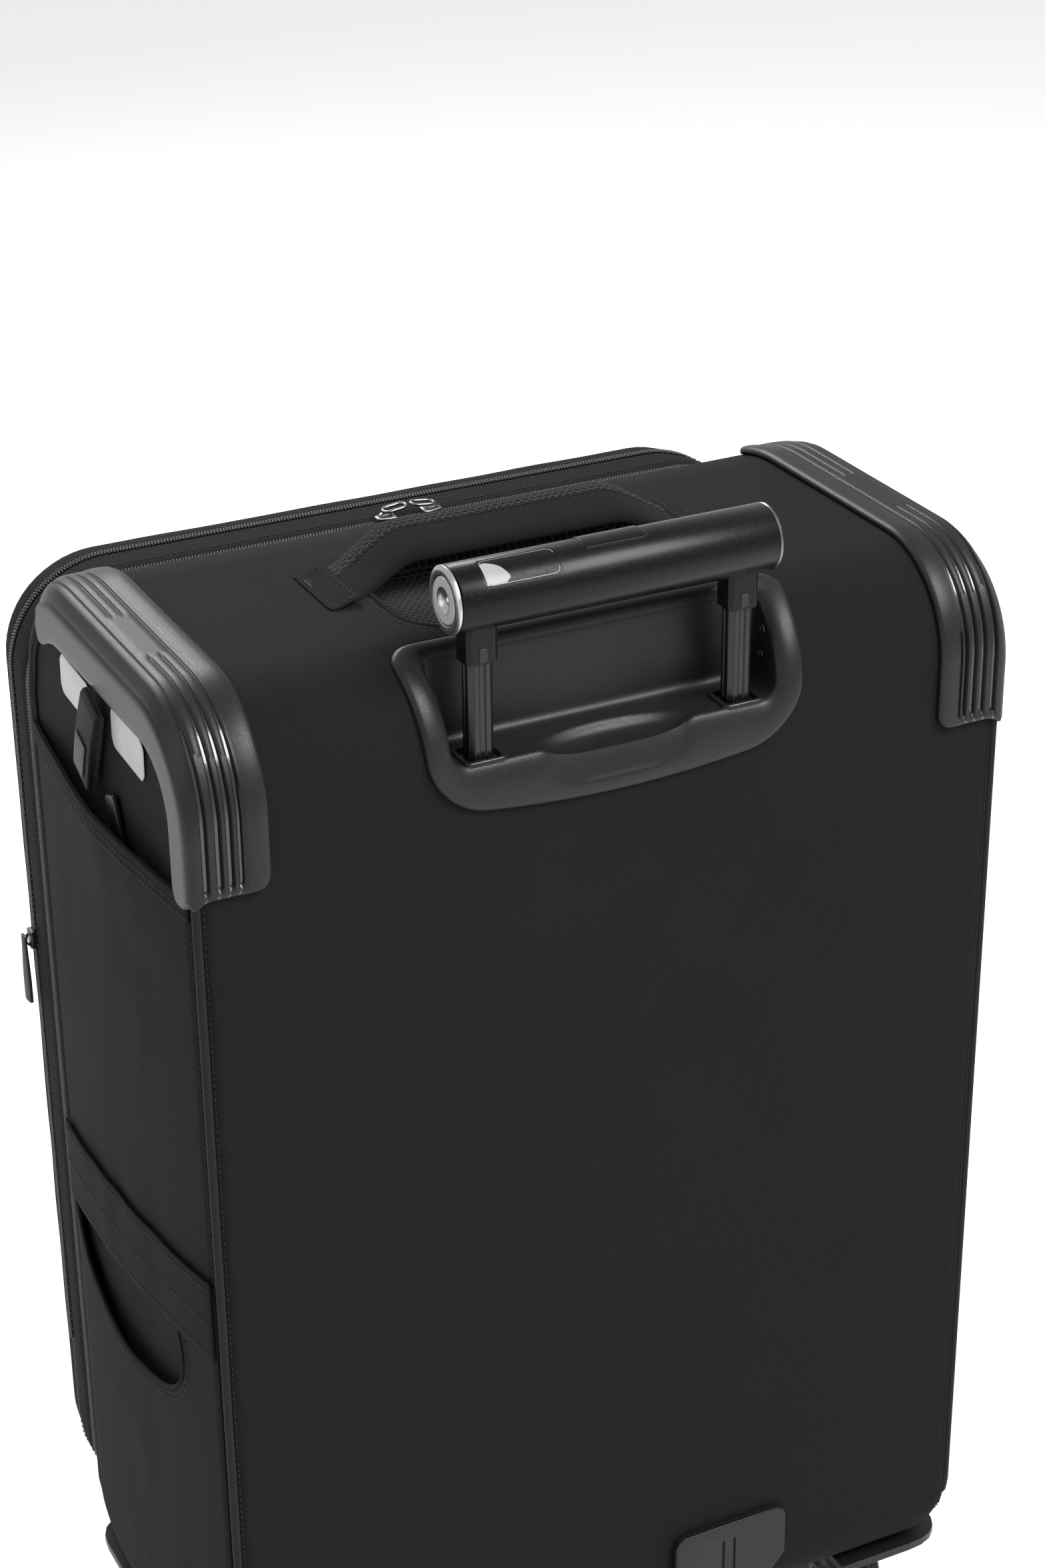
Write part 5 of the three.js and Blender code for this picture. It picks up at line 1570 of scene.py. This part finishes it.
def framed_copy(node, finish, slot, body, bevel, segments=3, angle=30, name=None):
    """A copy of a frame node, merged, with its edges rounded."""
    build = bmesh.new()
    build.from_mesh(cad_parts[node].data)
    bmesh.ops.remove_doubles(build, verts=build.verts, dist=0.01 * MM)
    bmesh.ops.dissolve_limit(build, angle_limit=radians(1), verts=build.verts, edges=build.edges)
    box_map(build)
    piece = finish_piece(name or f"{node}_finish", build, finish, slot, body, [node], angle)
    return round_edges(piece, bevel, segments, angle)


framed_copy("bag_strap_clip", dark_plastic, "moulded_plastic", "case", 0.7 * MM)

# %% [markdown]
# ## Rings round the zipped opening
# The zip, the lid and its front pocket all follow the same rounded rectangle, drawn in by different
# amounts. `front_ring` gives that outline at an inset and a depth. `ring_band` bridges a stack of them into
# a skin, and `matched_ring` divides them all alike.

# %% Rings round the zipped opening
def front_ring(inset, depth):
    low, high = BASE + 10 * MM + inset, TOP - FALL - inset
    line = rounded_outline(-HALF + inset, low, HALF - inset, high, BASE_CORNER - inset, FRONT_CORNER - inset,
                           14)
    return [Vector((x, BACK - depth, z)) for x, z in line]


def matched_ring(inset, depth):
    """The outline with its straight runs divided so that they can bow, alike at every inset."""
    ring, guide, made = front_ring(inset, depth), front_ring(3 * MM, depth), []
    for k, (a, b) in enumerate(round_pairs(guide)):
        c, d = ring[k], ring[(k + 1) % len(ring)]
        parts = max(1, round((b - a).length / (14 * MM))) if (b - a).length > 20 * MM else 1
        made += [c + (d - c) * i / parts for i in range(parts)]
    return made


def closed_ring(inset, depth, spacing):
    ring = matched_ring(inset, depth)
    return resample(ring + ring[:1], spacing)


RING_COUNT = len(matched_ring(3 * MM, 0))


def ring_band(name, stations, finish, slot, body, stands_for=(), ruffle=0.0, fill=False, sharp=50):
    rings = [matched_ring(inset * MM, depth * MM) for inset, depth in stations]
    for ring in rings:
        for p in ring:
            wave = drift(p.x / (45 * MM), p.y / (14 * MM), p.z / (45 * MM)) * ruffle
            p += (p - Vector((0, p.y, MIDDLE))).normalized() * wave
    if fill:
        for share, forward in ((0.9, 0.5), (0.72, 1.1), (0.5, 1.5), (0.25, 1.7)):
            ring = matched_ring(stations[-1][0] * MM, stations[-1][1] * MM)
            for p in ring:
                p.xz = p.x * share, MIDDLE + (p.z - MIDDLE) * share
                wave = drift(p.x / (80 * MM), 3.0, p.z / (80 * MM)) * 1.6 * MM * (1 - share)
                p.y += wave - forward * MM
            rings.append(ring)
    build = bmesh.new()
    bridge(build, [add_loop(build, ring) for ring in rings])
    if fill:
        build.faces.new(build.verts[-RING_COUNT:])
    middle = Vector((0, BACK - stations[0][1] * MM, MIDDLE))
    outward(build, lambda f: (f.calc_center_median() - middle).dot(f.normal) * f.calc_area())
    box_map(build)
    return finish_piece(name, build, finish, slot, body, stands_for, sharp)


# %% [markdown]
# ## Zip tapes, lid and front pocket
# The body ends in a woven tape that holds the first row of teeth. The lid starts with a tape of its own,
# then a gusset, the pocket's tapes, and the front pocket, whose edge rolls over into a slightly crowned
# front.

# %% Zip tapes, lid and front pocket
body_tape = ring_band("zip_tape_body", [(4.5, 228.5), (2.6, 229.6), (2.2, 231), (2.4, 234), (2.2, 237.2)],
                      tape_cloth, "shell_fabric", "case", ["zip_tape"], 0.15 * MM)
thicken(body_tape, 0.8 * MM)
lid_tape = ring_band("zip_tape_lid", [(2.2, 241.1), (2.4, 243.4), (2.6, 245.6)], tape_cloth, "shell_fabric",
                     "lid")
thicken(lid_tape, 0.8 * MM)
lid_gusset = ring_band("lid_gusset",
                       [(3.4, 243.8), (1.9, 244.2), (1.2, 246), (0.9, 251), (0.9, 257), (1.3, 262),
                        (2.0, 265.5), (3.2, 266.6)], shell, "shell_fabric", "lid", ["lid_shell"], 0.7 * MM)
thicken(lid_gusset, 1.2 * MM)
ring_band("pocket_zip_tape", [(3.6, 265.8), (3.0, 267.5), (2.9, 270.5), (3.1, 273.4), (4.4, 274.6)],
          tape_cloth, "shell_fabric", "lid")
pocket_front = ring_band("front_pocket_cloth", [
    (5.6, 273.0), (4.2, 273.8), (3.9, 276), (4.2, 281), (4.8, 286), (6.0, 290.4), (8.6, 294.8),
    (12.4, 297.8), (17.5, 299.4),
    (26, 300.0)], shell, "shell_fabric", "lid", ["front_pocket"], 0.6 * MM, fill=True)
seam_cord = matched_ring(16.5 * MM, 299.6 * MM)
FORWARDS = Vector((0, -1, 0))
swept("front_pocket_piping", seam_cord, FORWARDS, round_section(1.5 * MM), piping_cloth, "webbing", "lid")
lid_stitches = []
for inset, depth in ((0.7, 248.5), (1.0, 262.6), (4.0, 278)):
    ring = closed_ring(inset * MM, depth * MM, 4 * MM)
    ups = [Vector((p.x, 0, p.z - MIDDLE)).normalized() for p in ring]
    lid_stitches += stitch_matrices(ring, ups)

# %% [markdown]
# ## Zip teeth
# A coil zip is a spring of nylon sewn along each tape, so from outside it is two rows of small close ribs.
# One rib is a squashed ball. It is set down along the ring at the real pitch, and the second row is half a
# pitch out of step. Both rows stop at the cloth hinge, where the lid is sewn on.

# %% Zip teeth
TOOTH_PITCH = 1.75 * MM
HINGE_LOW, HINGE_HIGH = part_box("hinge_tape")[0].z - 1 * MM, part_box("hinge_tape")[1].z + 1 * MM


def coil_matrices(inset, depth, reach, keep, shift=0.0):
    ring = closed_ring(inset, depth, TOOTH_PITCH)
    matrices = []
    for a, b in zip(ring, ring[1:]):
        place = a + (b - a) * (0.5 + shift)
        if not keep(place):
            continue
        along = (b - a).normalized()
        out = Vector((along.z, 0, -along.x))
        turn = Matrix((along * 1.5 * MM, Vector((0, -reach, 0)), out * 1.9 * MM)).transposed().to_4x4()
        matrices.append(Matrix.Translation(place) @ turn)
    return matrices


def off_hinge(place):
    return place.x > -188 * MM or not HINGE_LOW < place.z < HINGE_HIGH


def above_hem(place):
    return place.z > BASE + 110 * MM


coil_rows = (
    ("zip_teeth_body", 238.0, 3.0, off_hinge, 0.0, "case", "zip_coil_body"),
    ("zip_teeth_lid", 240.4, 3.0, off_hinge, 0.5, "lid", "zip_coil_lid"),
)
for name, depth, reach, keep, shift, body, node in coil_rows:
    matrices = coil_matrices(1.3 * MM, depth * MM, reach * MM, keep, shift)
    finish_piece(name, repeated(BALL, matrices), coil, "coil_nylon", body, [node], 180)
pocket_matrices = [m for row, shift in ((269.4, 0.0), (271.6, 0.5))
                   for m in coil_matrices(2.2 * MM, row * MM, 2.8 * MM, above_hem, shift)]
finish_piece("pocket_zip_teeth", repeated(BALL, pocket_matrices), coil, "coil_nylon", "lid",
             ["pocket_zip_coil"], 180)

# %% [markdown]
# ## Cloth hinge
# Along the far side the lid isn't zipped but sewn to the body by a strip of cloth, which bends when the lid
# opens. Here the strip is one bowed sheet that goes with neither the case nor the lid.

# %% Cloth hinge
hinge_low, hinge_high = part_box("hinge_tape")
hinge_build = flat_panel(229 * MM, 246 * MM, hinge_low.z, hinge_high.z, 1.4 * MM)
lay(hinge_build, lambda depth, z: Vector((
    -HALF - 0.5 * MM - 0.5 * MM * cos(pi * (depth - 239 * MM) / (18 * MM)), BACK - depth, z)))
outward(hinge_build, lambda f: -f.normal.x)
hinge = finish_piece("hinge_cloth", hinge_build, tape_cloth, "shell_fabric", "case", ["hinge_tape"],
                     rides=False)
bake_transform(hinge)

# %% [markdown]
# ## Zip sliders and pulls
# A slider is a small cast shell, narrow at one end, with a bridge that the pull hangs from. It is a cube,
# pinched and bevelled, with a swept bridge. The main zip's pulls are loops of round wire. The pocket's is a
# moulded rubber drop.

# %% Zip sliders and pulls
def slider(name, node, finish, slot, body, along, out):
    low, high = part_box(node)
    centre = (low + high) / 2
    length = max((high - low).dot(Vector([abs(v) for v in along])), 9 * MM)
    along, out = Vector(along), Vector(out)
    build = bmesh.new()
    bmesh.ops.create_cube(build, size=1)
    bmesh.ops.subdivide_edges(build, edges=build.edges, cuts=2, use_grid_fill=True)
    for vert in build.verts:
        pinch = 0.62 + 0.38 * ease(vert.co.x, -0.5, 0.2)
        vert.co = Vector((vert.co.x * length, vert.co.y * 8.2 * MM * pinch, vert.co.z * 3.2 * MM - 0.5 * MM))
    turn = Matrix((along, along.cross(out), out)).transposed().to_4x4()
    bmesh.ops.transform(build, matrix=Matrix.Translation(centre) @ turn, verts=build.verts)
    box_map(build)
    body_piece = finish_piece(f"{name}_shell", build, finish, slot, body, [node], 30)
    subdivide(round_edges(body_piece, 0.7 * MM, 2, 30), 1)
    steps = 12
    arch = [centre + along * length * 0.32 * cos(pi * i / steps)
            + out * (0.8 * MM + 2.0 * MM * sin(pi * i / steps)) for i in range(steps + 1)]
    section = rounded_outline(-1.2 * MM, -0.45 * MM, 1.2 * MM, 0.45 * MM, 0.3 * MM, steps=2)
    ups = [(p - centre + out * 0.5 * MM).normalized() for p in arch]
    bridge = capped(sweep(path_frames(arch, ups), section, True))
    finish_piece(f"{name}_bridge", bridge, finish, slot, body, (), 40)


for name, side in SIDES:
    slider(f"zip_slider_{name}", f"main_slider_{name}", slider_metal, "silver_trim", f"main_slider_{name}",
           (-side, 0, 0), (0, 0, 1))
    low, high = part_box(f"main_pull_{name}")
    wire = 0.95 * MM
    flat_loop = rounded_outline(low.x + wire, low.y + wire, high.x - wire, high.y - wire, 3.4 * MM, steps=6)
    slope = (high.z - low.z - 1.8 * MM) / (high.x - low.x)
    mid_z = (low.z + high.z) / 2
    loop = [Vector((x, y, mid_z - side * slope * (x - (low.x + high.x) / 2))) for x, y in flat_loop]
    loop = resample(loop + loop[:1], 1.6 * MM)[:-1]
    swept(f"zip_pull_{name}", loop, Vector((0, 0, 1)), round_section(wire), slider_metal, "silver_trim",
          f"main_pull_{name}", stands_for=[f"main_pull_{name}"])

slider("pocket_zip_slider", "pocket_slider", dark_plastic, "coil_nylon", "pocket_slider", (0, 0, 1),
       (1, 0, 0))
drop_low, drop_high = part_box("pocket_puller")
drop_middle = (drop_low + drop_high) / 2
drop_build = bmesh.new()
bmesh.ops.create_cube(drop_build, size=1)
bmesh.ops.subdivide_edges(drop_build, edges=drop_build.edges, cuts=5, use_grid_fill=True)
drop_size = drop_high - drop_low
for vert in drop_build.verts:
    z = vert.co.z
    waist = 0.62 + 0.38 * ease(-z, -0.45, 0.15)
    bulge = 1 - 0.5 * (2 * abs(vert.co.y)) ** 2
    vert.co = Vector((vert.co.x * drop_size.x * (0.7 + 0.3 * ease(-z, -0.4, 0.2)) * bulge,
                      vert.co.y * drop_size.y * waist, z * drop_size.z))
bmesh.ops.translate(drop_build, vec=drop_middle, verts=drop_build.verts)
box_map(drop_build)
puller = finish_piece("pocket_zip_puller", drop_build, rubber, "coil_nylon", "pocket_puller",
                      ["pocket_puller"], 60)
subdivide(round_edges(puller, 0.8 * MM, 2, 50), 1)

# %% [markdown]
# ## Casters and base plates
# Each corner stands on a twin-wheel caster. The housing and fork keep the frame's shapes, as merged copies
# with rounded edges. The wheels are turned afresh: a soft tyre with two tread lines, on a harder dished hub
# with seven ribs and an axle cap. The base plates that guard the back's lower edge are rounded copies too.

# %% Casters and base plates
TYRE_PROFILE = ((6.4, 18.8), (6.4, 23.2), (7.4, 24.7), (9.0, 25.0), (9.6, 25.0), (9.8, 24.6), (10.2, 24.6),
                (10.4, 25.0),
                (12.4, 25.0), (12.6, 24.6), (13.0, 24.6), (13.2, 24.95), (14.6, 24.5), (15.8, 23.3),
                (16.2, 21.6), (16.2, 19.4), (15.7, 18.8), (6.4, 18.8))
HUB_PROFILE = ((6.6, 0.0), (6.6, 18.7), (15.4, 18.7), (15.9, 18.3), (15.7, 17.6), (14.0, 16.6), (12.9, 15.2),
               (12.6, 8.2), (13.4, 6.9), (15.0, 6.2), (15.8, 5.4), (16.1, 3.6), (16.1, 0.0))
rib_build = bmesh.new()
bmesh.ops.create_cube(rib_build, size=1)
bmesh.ops.bevel(rib_build, geom=rib_build.edges[:], offset=0.12, segments=2, profile=0.5, affect="EDGES",
                material=-1)
RIB = small_mesh(rib_build)
CASTERS = [f"{y}_{x}" for y in ("back", "front") for x in ("left", "right")]
for name in CASTERS:
    low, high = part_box(f"caster_wheels_{name}")
    axle = (low + high) / 2
    framed_copy(f"caster_housing_{name}", moulding, "moulded_plastic", "case", 1.3 * MM)
    framed_copy(f"caster_fork_{name}", dark_plastic, "moulded_plastic", f"swivel_{name}", 1.0 * MM, 2)
    for index, side in enumerate((-1, 1)):
        tyre_build = turned([(side * a * MM, r * MM) for a, r in TYRE_PROFILE], axle, steps=56)
        stands_for = [f"caster_wheels_{name}"] if index == 0 else []
        finish_piece(f"tyre_{name}_{index}", tyre_build, tyre, "wheel_tyre", f"wheels_{name}", stands_for,
                     40)
        hub_build = turned([(side * a * MM, r * MM) for a, r in HUB_PROFILE], axle, steps=48)
        finish_piece(f"hub_{name}_{index}", hub_build, hub_plastic, "wheel_tyre", f"wheels_{name}", (), 35)
        ribs = []
        for k in range(7):
            angle = 2 * pi * k / 7
            arm = boxed((side * 13.4 * MM, 0, 11.4 * MM), (1.6 * MM, 1.5 * MM, 9.0 * MM))
            ribs.append(Matrix.Translation(axle) @ Matrix.Rotation(angle, 4, "X") @ arm)
        finish_piece(f"hub_ribs_{name}_{index}", repeated(RIB, ribs), hub_plastic, "wheel_tyre",
                     f"wheels_{name}")
    pin = turned([(-17.0 * MM, 0), (-17.0 * MM, 2.6 * MM), (-16.4 * MM, 3.0 * MM), (16.4 * MM, 3.0 * MM),
                  (17.0 * MM, 2.6 * MM), (17.0 * MM, 0)], axle, steps=20)
    finish_piece(f"axle_{name}", pin, steel, "spring_steel", f"wheels_{name}", (), 30)
for name, side in SIDES:
    framed_copy(f"base_plate_{name}", moulding, "moulded_plastic", "case", 1.4 * MM, 3)

# %% [markdown]
# ## Lining and packing straps
# Open, the case shows a light-weight grey lining, gathered a little at the walls. Two webbing straps cross
# over the back and meet in a plastic buckle. The lid is lined too, and has a mesh pocket with a zip along
# its top.

# %% Lining
def lining_skin(name, stations, finish, body, stands_for, ruffle, back_wave):
    skin = ring_band(name, stations, finish, "lining_fabric", body, stands_for, ruffle, fill=False)
    build = bmesh.new()
    build.from_mesh(skin.data)
    inward = 1 if body == "case" else -1
    edges = [e for e in build.edges if e.is_boundary]
    ring = sorted(edges, key=lambda e: e.verts[0].co.y * inward)[-RING_COUNT:]
    middle = Vector((0, ring[0].verts[0].co.y, MIDDLE))
    last = 1.0
    for share in (0.85, 0.6, 0.3):
        made = bmesh.ops.extrude_edge_only(build, edges=ring)
        verts = [g for g in made["geom"] if isinstance(g, bmesh.types.BMVert)]
        ring = [g for g in made["geom"] if isinstance(g, bmesh.types.BMEdge) and g.is_boundary]
        for vert in verts:
            vert.co = middle + (vert.co - middle) * (share / last)
            vert.co.y += drift(vert.co.x / (60 * MM), 1.0, vert.co.z / (60 * MM)) * back_wave
        last = share
    bmesh.ops.contextual_create(build, geom=ring)
    toward = Vector((0, BACK - (150 if body == "case" else 245) * MM, MIDDLE))
    outward(build, lambda f: (toward - f.calc_center_median()).dot(f.normal) * f.calc_area())
    box_map(build)
    build.to_mesh(skin.data)
    build.free()
    skin.data.shade_smooth()


lining_skin("case_lining", [(8.4, 229.6), (9.6, 226), (10.2, 205), (10.4, 170), (10.3, 130), (10.4, 90),
                            (10.8, 60), (13, 46), (18, 39.5), (27, 37)],
            lining, "case", ["lining_tray"], 1.6 * MM, 1.6 * MM)
lining_skin("lid_lining", [(3.9, 244.6), (4.4, 248), (4.6, 258), (6.5, 262.4), (12, 264)],
            lining, "lid", [], 0.5 * MM, 0.8 * MM)
swept("lining_binding", matched_ring(8.2 * MM, 229.8 * MM), FORWARDS, round_section(1.3 * MM), hem_cloth,
      "shell_fabric", "case")

# %% Packing straps
CROSS_Z = 0.37
REACH_X, REACH_Z, CROSS_GAP = 188 * MM, 205 * MM, 9 * MM
anchor_places = []
for index, (x, z) in enumerate(((-1, 1), (1, 1), (-1, -1), (1, -1))):
    line = []
    for i in range(41):
        share = i / 40
        lift = 5 * MM + 6 * MM * sin(pi * share) ** 2 + 3 * MM * share
        line.append(Vector((x * between(REACH_X, CROSS_GAP, share), BACK - 38 * MM - lift,
                            CROSS_Z + z * between(REACH_Z, CROSS_GAP, share))))
    swept(f"packing_strap_{index}", line, FORWARDS, flat_section(12.5, -0.6, 0.8, 0.8, 0.3), webbing,
          "webbing", "case", sharp=45, ring=False)
    place = Vector((x * (REACH_X - 2 * MM), BACK - 40.6 * MM, CROSS_Z + z * (REACH_Z - 2 * MM)))
    turn = Matrix.Rotation(radians(-45 * x * z), 4, "Y")
    anchor_places.append(Matrix.Translation(place) @ turn @ Matrix.Diagonal((30 * MM, 5.4 * MM, 30 * MM, 1)))
finish_piece("strap_anchors", repeated(RIB, anchor_places), webbing, "webbing", "case", (), 40)
buckle_build = bmesh.new()
for size, back in (((46, 10, 40), 0), ((54, 7, 16), 0.5), ((20, 12, 24), -0.6)):
    place = boxed((0, BACK + (back - 48) * MM, CROSS_Z), [v * MM for v in size])
    bmesh.ops.create_cube(buckle_build, size=1, matrix=place)
box_map(buckle_build)
subdivide(round_edges(finish_piece("strap_buckle", buckle_build, dark_plastic, "moulded_plastic", "case"),
                      2 * MM, 3))

# %% Mesh pocket in the lid
lid_mesh = spacer_finish("lid_pocket_mesh", 2.4 * MM, 1.8 * MM, 0.06)
POCKET_PLANE = 252 * MM


def lid_point(x, z, out=0.0):
    sag = 3.2 * MM * cos(pi * x / (410 * MM)) * cos(pi * (z - 0.34) / (560 * MM))
    ripple = drift(x / (50 * MM), z / (70 * MM), 6.0) * 1.2 * MM
    return Vector((x, BACK - POCKET_PLANE + sag + ripple + out, z))


mesh_line = rounded_outline(-200 * MM, BASE + 24 * MM, 200 * MM, 585 * MM, 36 * MM, 10 * MM, 6)
mesh_build = cut_panel(mesh_line, 9 * MM, 20 * MM)
lay(mesh_build, lid_point)
outward(mesh_build, lambda f: f.normal.y)
mesh_pocket = finish_piece("lid_mesh_pocket", mesh_build, lid_mesh, "mesh_fabric", "lid")
thicken(mesh_pocket, 0.6 * MM)
edge_points = resample([lid_point(x, z, 0.4 * MM) for x, z in mesh_line + mesh_line[:1]], 8 * MM)[:-1]
edge_section = rounded_outline(-5 * MM, -0.9 * MM, 5 * MM, 0.9 * MM, 0.8 * MM, steps=2)
swept("mesh_pocket_binding", edge_points, -FORWARDS, edge_section, tape_cloth, "webbing", "lid")
inner_teeth = []
for row in (-1, 1):
    for i in range(216):
        place = lid_point(-189 * MM + i * TOOTH_PITCH, 572 * MM + row * 1.2 * MM, 1.4 * MM)
        inner_teeth.append(boxed(place, (1.5 * MM, 1.6 * MM, 2.6 * MM)))
finish_piece("mesh_pocket_teeth", repeated(BALL, inner_teeth), coil, "coil_nylon", "lid", (), 180)

# %% [markdown]
# ## Hidden frame parts
# Boards, tubes, feet and rods sit behind the lining or in the tubes. They keep the frame's own shapes and
# get a finish each.

# %% Hidden frame parts
honeycomb = moulded_finish("honeycomb_board", 0.03, 0.7, 3, 0.2)
for node, finish in (("wire_frame", steel), ("back_board", honeycomb), ("base_board", honeycomb),
                     ("torch_battery", steel), ("release_yoke", steel), ("outer_tube_left", drawn_tube),
                     ("outer_tube_right", drawn_tube), ("tube_foot_left", moulding),
                     ("tube_foot_right", moulding)):
    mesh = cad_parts[node].data
    mesh.materials.clear()
    mesh.materials.append(finish)
print("frame parts that still show", [n for n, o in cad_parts.items() if not o.hide_render])

# %% [markdown]
# ## Handle tabs and screws
# The carry handle's ends are caught under small stitched tabs. Two screws hold the cup's side walls.

# %% Handle tabs and screws
for name, side in SIDES:
    low_x, high_x = sorted((side * 92 * MM, side * 108 * MM))
    tab_line = rounded_outline(low_x, on_top(139 * MM), high_x, on_top(91 * MM), 2.5 * MM, steps=3)
    build = cut_panel(tab_line, 3 * MM)

    def tab_lift(x, d, side=side):
        under = ease(STRAP_HALF - abs(x), 0, 14 * MM)
        return wrap_lift(x, d) + 1.0 * MM + 3.0 * MM * under

    lay(build, lambda x, d: on_wrap(x, d, tab_lift(x, d)))
    outward(build, lambda f: f.normal.z)
    round_edges(thicken(finish_piece(f"handle_tab_{name}", build, hem_cloth, "shell_fabric", "case"),
                        1 * MM), 0.3 * MM)
    left, right, front, back = low_x + 2.4 * MM, high_x - 2.4 * MM, on_top(136.6 * MM), on_top(93.4 * MM)
    corners = [(left, front), (right, front), (right, back), (left, back)]
    for a, b in round_pairs(corners):
        line = [(between(a[0], b[0], k / 12), between(a[1], b[1], k / 12)) for k in range(13)]
        row = [on_wrap(x, d, tab_lift(x, d) + 0.1 * MM) for x, d in line]
        stitches += stitch_matrices(row, Vector((0, 0, 1)))

for side in (-1, 1):
    for z in (TOP - 20 * MM, TOP - 33 * MM):
        screw_profile = [(0, 0.0), (0, 2.3 * MM), (0.5 * MM, 2.1 * MM), (0.8 * MM, 1.4 * MM),
                         (0.3 * MM, 1.1 * MM), (0.3 * MM, 0.0)]
        screw_profile = [(-side * a, r) for a, r in screw_profile]
        taper = between(CUP_HALF, CUP_FLOOR_HALF, (TOP - z) / (50 * MM))
        screw = turned(screw_profile, Vector((side * (taper - 0.6 * MM), BACK - 17 * MM, z)), steps=20)
        finish_piece(f"cup_screw_{side}_{round((TOP - z) / MM)}".replace("-1", "left"), screw, dark_plastic,
                     "moulded_plastic", "case", (), 30)

# %% [markdown]
# ## Close the model
# The stitches made so far become one piece.

# %% Close the model
finish_piece("seam_stitches", repeated(BALL, stitches), thread, "shell_fabric", "case", (), 180)
finish_piece("lid_stitching", repeated(BALL, lid_stitches), thread, "shell_fabric", "lid", (), 180)
